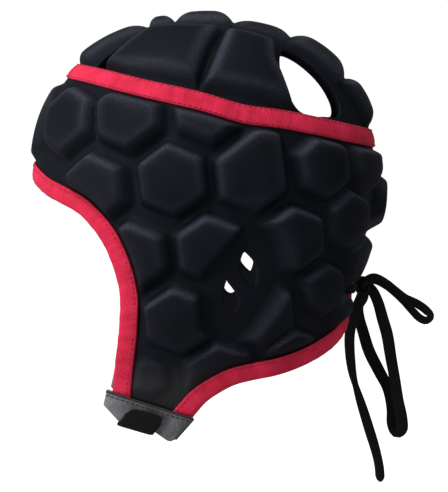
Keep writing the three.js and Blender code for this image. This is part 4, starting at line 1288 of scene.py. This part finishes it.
def makeBinding(name, run):
    inward = inwardFrom(run, soften=bindingStrip["soften"])
    makeStrip(name, run, inward, bindingStrip["section"], bindingStrip["ripple"])
    stitchRow(f"{name}_stitches", run, inward, *bindingStrip["stitches"], redThread, "red_tape")


makeTape()
makeBinding("face_binding", np.vstack([flipSide(faceRun[1:])[::-1], faceRun]))
makeBinding("neck_binding", np.vstack([neckRun, flipSide(neckRun[:-1])[::-1]]))
print("tape and bindings made")


# chin patches, folded over the tab ends
patchShape = {
    "top": ((-59.6, -214.2), (-8.2, -230.2)),  # (back, up)
    "foot": ((-61.5, -223.0), (-52.7, -232.8), (-31.0, -239.2),
             (-24.0, -244.2), (-22.0, -244.7), (-19.6, -243.6)),
    "footShares": (0, 0.2, 0.72, 0.9, 0.95, 1),
    "outer": 7.3, "inner": -4.4, "thick": 1.2,
    "dip": 1.3, "innerDip": 0.6,
    "fold": 0.9, "hem": 0.84,  # shares of the way down, outside and inside the fold
    "columns": 60, "rows": 18, "foldRows": 7, "foldTurn": (0.15, 0.85),  # shares of a half turn
}
piping = {
    "radius": 0.75, "sides": 10, "step": 1.2, "proud": 0.1, "downTo": 0.93, "downSteps": 16,
    "stitchIn": 2.4, "stitchProud": 0.25,
}


def carryAlong(along, first):
    # keeps a side direction from twisting as it is carried along a run
    side = [unit(first - along[0] * (first @ along[0]))]
    for ahead in along[1:]:
        side.append(unit(side[-1] - ahead * (side[-1] @ ahead)))
    return np.array(side)


def dressPatchEdge(name, top, foot, lift, mirror):
    # dark piping along the top and back of the patch, with a row of stitches beside it
    upper = onLeftSide(*top.T, lift + piping["proud"])
    share = np.linspace(0, piping["downTo"], piping["downSteps"])[1:, None]
    back = onLeftSide(*(top[-1] + (foot[-1] - top[-1]) * share).T, lift[-1])
    line = evenRun(np.vstack([upper, back]), piping["step"])
    run = onForm(upper)
    inward = unit(onForm(onLeftSide(*foot.T, lift)) - run)
    if mirror:
        line, run, inward = flipSide(line), flipSide(run), flipSide(inward)
    along = tangents(line)
    side = carryAlong(along, np.cross(along[0], (0.0, 0, 1)))
    rings = ringsRound(line, side, np.cross(along, side), (piping["radius"],) * 2, piping["sides"])
    tubePiece(f"{name}_piping", rings, blackThread)
    stitchRow(f"{name}_stitches", run, inward, piping["stitchIn"], lift + piping["stitchProud"],
              blackThread, "grey_leather")


def makePatch(name, mirror):
    s = np.linspace(0, 1, patchShape["columns"])
    top = between(s, (0, 1), patchShape["top"])
    foot = between(s, patchShape["footShares"], patchShape["foot"])
    sway = np.sin(s * math.pi) ** 2
    outer = patchShape["outer"] - patchShape["dip"] * sway
    inner = patchShape["inner"] + patchShape["innerDip"] * sway
    thick, fold, count = patchShape["thick"], patchShape["fold"], patchShape["rows"]
    down, hem = np.linspace(0, fold, count), np.linspace(0, patchShape["hem"], count)
    rows = [(share, outer) for share in down]
    for turn in np.linspace(*patchShape["foldTurn"], patchShape["foldRows"]) * math.pi:
        share = fold + (1 - fold) * math.sin(turn) ** 0.5
        rows.append((share, outer + (inner - outer) * (0.5 - 0.5 * math.cos(turn))))
    rows += [(share, inner) for share in down[::-1]]
    rows += [(share, inner + thick) for share in hem]
    rows += [(share, outer - thick) for share in hem[::-1]]
    points = np.stack([onLeftSide(*(top + (foot - top) * share).T, lift) for share, lift in rows], 1)
    faces = tubeFaces(*points.shape[:2])
    if mirror:
        points = flipSide(points)
    else:
        faces = [face[::-1] for face in faces]
    makePiece(f"{name}_leather", points, faces, greyLeather, node=name)
    dressPatchEdge(name, top, foot, outer, mirror)


makePatch("chin_patch_left", False)
makePatch("chin_patch_right", True)


# chin strap: down the outside of each patch, round its foot and straight across under the chin
strapShape = {
    "front": (-52.3, -232.9), "back": (-31.2, -238.8),  # (back, up) at the patch foot
    "rise": (0.595, 0.804),
    "path": ((11.6, 8.6), (9, 8.6), (5, 8.6), (1.5, 8.6), (-0.6, 8.2), (-1.5, 6.6), (-1.65, 4.1),
             (-1.6, 2), (-1.6, -2), (-1.6, -6.3)),  # (above the foot, lift)
    "step": 0.9, "across": 13, "thick": 2.0, "edgeThick": 0.6,
    "corner": 5.0, "cornerFrom": 0.62,  # rounding of the end
    "sag": 1.5, "spans": 28, "girth": 50.0,
}


def makeStrap():
    path = np.array(strapShape["path"])
    run = smoothRun(np.column_stack([path, np.zeros(len(path))]), strapShape["step"])[:, :2]
    way = unit(np.gradient(run, axis=0))
    proud = np.stack([way[:, 1], -way[:, 0]], -1) * strapShape["thick"] / 2
    shares = np.linspace(0, 1, strapShape["across"])
    front, back, rise = (np.array(strapShape[key]) for key in ("front", "back", "rise"))

    def edgeLine(share, side):
        place = run + side * proud * (1 if 0 < share < 1 else strapShape["edgeThick"])
        edge = max(0, abs(2 * share - 1) - strapShape["cornerFrom"]) / (1 - strapShape["cornerFrom"])
        top = path[0, 0] - strapShape["corner"] * (1 - math.sqrt(max(0, 1 - edge * edge)))
        base = front + (back - front) * share + rise * np.minimum(place[:, :1], top)
        return onLeftSide(*base.T, place[:, 1])

    ring = [edgeLine(share, 1) for share in shares] + [edgeLine(share, -1) for share in shares[::-1]]
    left = np.stack(ring, 1)
    levels = []
    for share in np.linspace(1, 0, strapShape["spans"])[1:]:
        sag = strapShape["sag"] * (1 - share * share)
        levels.append(left[-1] * np.array((share, 1, 1)) - np.array((0, 0, sag)))
    whole = np.vstack([left, np.stack(levels)])
    points = np.vstack([whole, flipSide(whole[:-1])[::-1]])
    places = gridPlaces(runLengths(points.mean(1)), strapShape["girth"], points.shape[1])
    tubePiece("chin_strap_webbing", points, blackWebbing, places, "chin_strap")


makeStrap()
print("chin patches and strap made")


# lace over the nape slit, and the knot of the bow
bridgeShape = {
    "route": ((21, 0.8), (20.6, 4.6), (17.6, 6.55), (12, 6.55), (8, 6.55), (0, 6.55)),  # (across, lift)
    "halves": (2.9, 0.95), "girth": 1.6 * wholeTurn, "step": 1.2,
}
knotShape = {
    "middle": (0.0, 94.4, -156.3),
    "radii": (7.5, 4.8, 6.2),
    "core": 0.72, "coreEnds": 0.05,  # share of the radii, and how far its poles are left open
    "wraps": ((0.0, 0.25, 1.0), (-3.2, -0.5, 0.84), (3.2, -0.5, 0.84)),  # (across, tilt, girth share)
    "tiltReach": 0.35, "halves": (2.6, 1.0),
    "stations": 48, "sides": 12, "step": 0.7, "girth": 9.6,
}


def makeBridge():
    left = np.array([onForm(np.array((across, eyelet["back"], eyelet["up"])), lift)
                     for across, lift in bridgeShape["route"]])
    run = smoothRun(np.vstack([left, flipSide(left[:-1])[::-1]]), bridgeShape["step"])
    along = tangents(run)
    wide = unit(np.cross(along, normalAt(run)))
    rings = ringsRound(run, wide, np.cross(wide, along), bridgeShape["halves"], laceCord["sides"])
    places = gridPlaces(runLengths(run), bridgeShape["girth"], laceCord["sides"])
    tubePiece("lace_bridge_cord", rings, blackLace, places, "lace_bridge")


def makeKnot():
    # three turns of lace round a packed core
    middle, radii = np.array(knotShape["middle"]), np.array(knotShape["radii"])
    stations, sides = knotShape["stations"], knotShape["sides"]
    angle = around(stations)
    cosine, sine = np.cos(angle), np.sin(angle)
    half = knotShape["halves"][1]
    bands = []
    for across, tilt, girth in knotShape["wraps"]:
        offset = np.stack([
            across + radii[0] * knotShape["tiltReach"] * tilt * sine,
            (radii[1] - half) * girth * cosine,
            (radii[2] - half) * girth * sine], -1)
        along = tangents(offset, True)
        wide = unit(np.cross(along, unit(offset - np.array((across, 0, 0)))))
        bands.append(ringsRound(middle + offset, wide, np.cross(wide, along), knotShape["halves"], sides))
    lean = np.linspace(knotShape["coreEnds"], math.pi - knotShape["coreEnds"], sides)
    core = np.stack(np.broadcast_arrays(
        np.cos(lean)[None], cosine[:, None] * np.sin(lean)[None], sine[:, None] * np.sin(lean)[None]), -1)
    bands.append(middle + core * radii * knotShape["core"])
    faces = repeatFaces(tubeFaces(stations, sides, loop=True), len(bands), stations * sides)
    places = gridPlaces(np.arange(stations) * knotShape["step"], knotShape["girth"], sides)
    places = np.tile(places.reshape(-1, 2), (len(bands), 1))
    return makePiece("lace_knot_cord", np.concatenate(bands), faces, blackLace, places,
                     node="lace_knot")


makeBridge()
knot = makeKnot()
for name, (piece, run) in laces.items():
    runLengths(run)[-1] * mm
print("bow tied")


# stage: pale floor and soft studio light
stageLook = {
    "floorUp": -0.33, "floorSize": 24.0,
    "paper": 0.45, "paperGrain": 1.04, "grainScale": 60.0,
    "room": 0.22,  # strength of the soft light from all round
    "backdrop": 1.02,  # brightness of room and paper as the camera sees them
}
studioLights = {  # place in metres, size in metres, power in watts
    "keyLight": {"place": (0.75, -0.72, 1.3), "size": 0.5, "power": 20.5},
    "topLight": {"place": (0.25, -0.5, 1.2), "size": 0.8, "power": 6.0},
    "rightLight": {"place": (1.3, 0.9, 0.5), "size": 0.9, "power": 6.0},
    "frontLight": {"place": (0.75, -1.5, -0.1), "size": 0.7, "power": 25.0},
}


def grey(tone):
    return (tone, tone, tone, 1)


def cameraSees(tree):
    return put(tree, "ShaderNodeLightPath").outputs["Is Camera Ray"]


def makeFloor():
    half = stageLook["floorSize"] / 2
    mesh = bpy.data.meshes.new("paleFloor")
    corners = [(-half, -half, 0), (half, -half, 0), (half, half, 0), (-half, half, 0)]
    mesh.from_pydata(corners, [], [(0, 1, 2, 3)])
    material, tree, shader = startMaterial("palePaper")
    grain = put(tree, "ShaderNodeTexNoise", {"Scale": stageLook["grainScale"], "Detail": 2.0}).outputs["Fac"]
    paper = stageLook["paper"]
    glow = stageLook["backdrop"] - paper * stageLook["room"]
    feed(tree, shader, {
        "Base Color": blendColour(tree, grain, grey(paper), grey(paper * stageLook["paperGrain"])),
        "Emission Color": blendColour(tree, cameraSees(tree), grey(0), grey(glow)),
        "Roughness": 0.95, "Specular IOR Level": 0.1, "Emission Strength": 1.0})
    mesh.materials.append(material)
    floor = bpy.data.objects.new("paleFloor", mesh)
    floor.location.z = stageLook["floorUp"]
    bpy.context.scene.collection.objects.link(floor)


def addLights():
    world = bpy.data.worlds.new("softRoom")
    world.use_nodes = True
    tree = world.node_tree
    strength = span(tree, cameraSees(tree), 0.0, 1.0, stageLook["room"], stageLook["backdrop"])
    feed(tree, tree.nodes["Background"].inputs, {"Color": grey(1), "Strength": strength})
    bpy.context.scene.world = world
    for name, row in studioLights.items():
        data = bpy.data.lights.new(name, "AREA")
        data.shape, data.size, data.energy = "DISK", row["size"], row["power"]
        placeAimed(name, data, row["place"])


makeFloor()
addLights()
bpy.context.scene.view_settings.view_transform = "Standard"
print("stage lit")
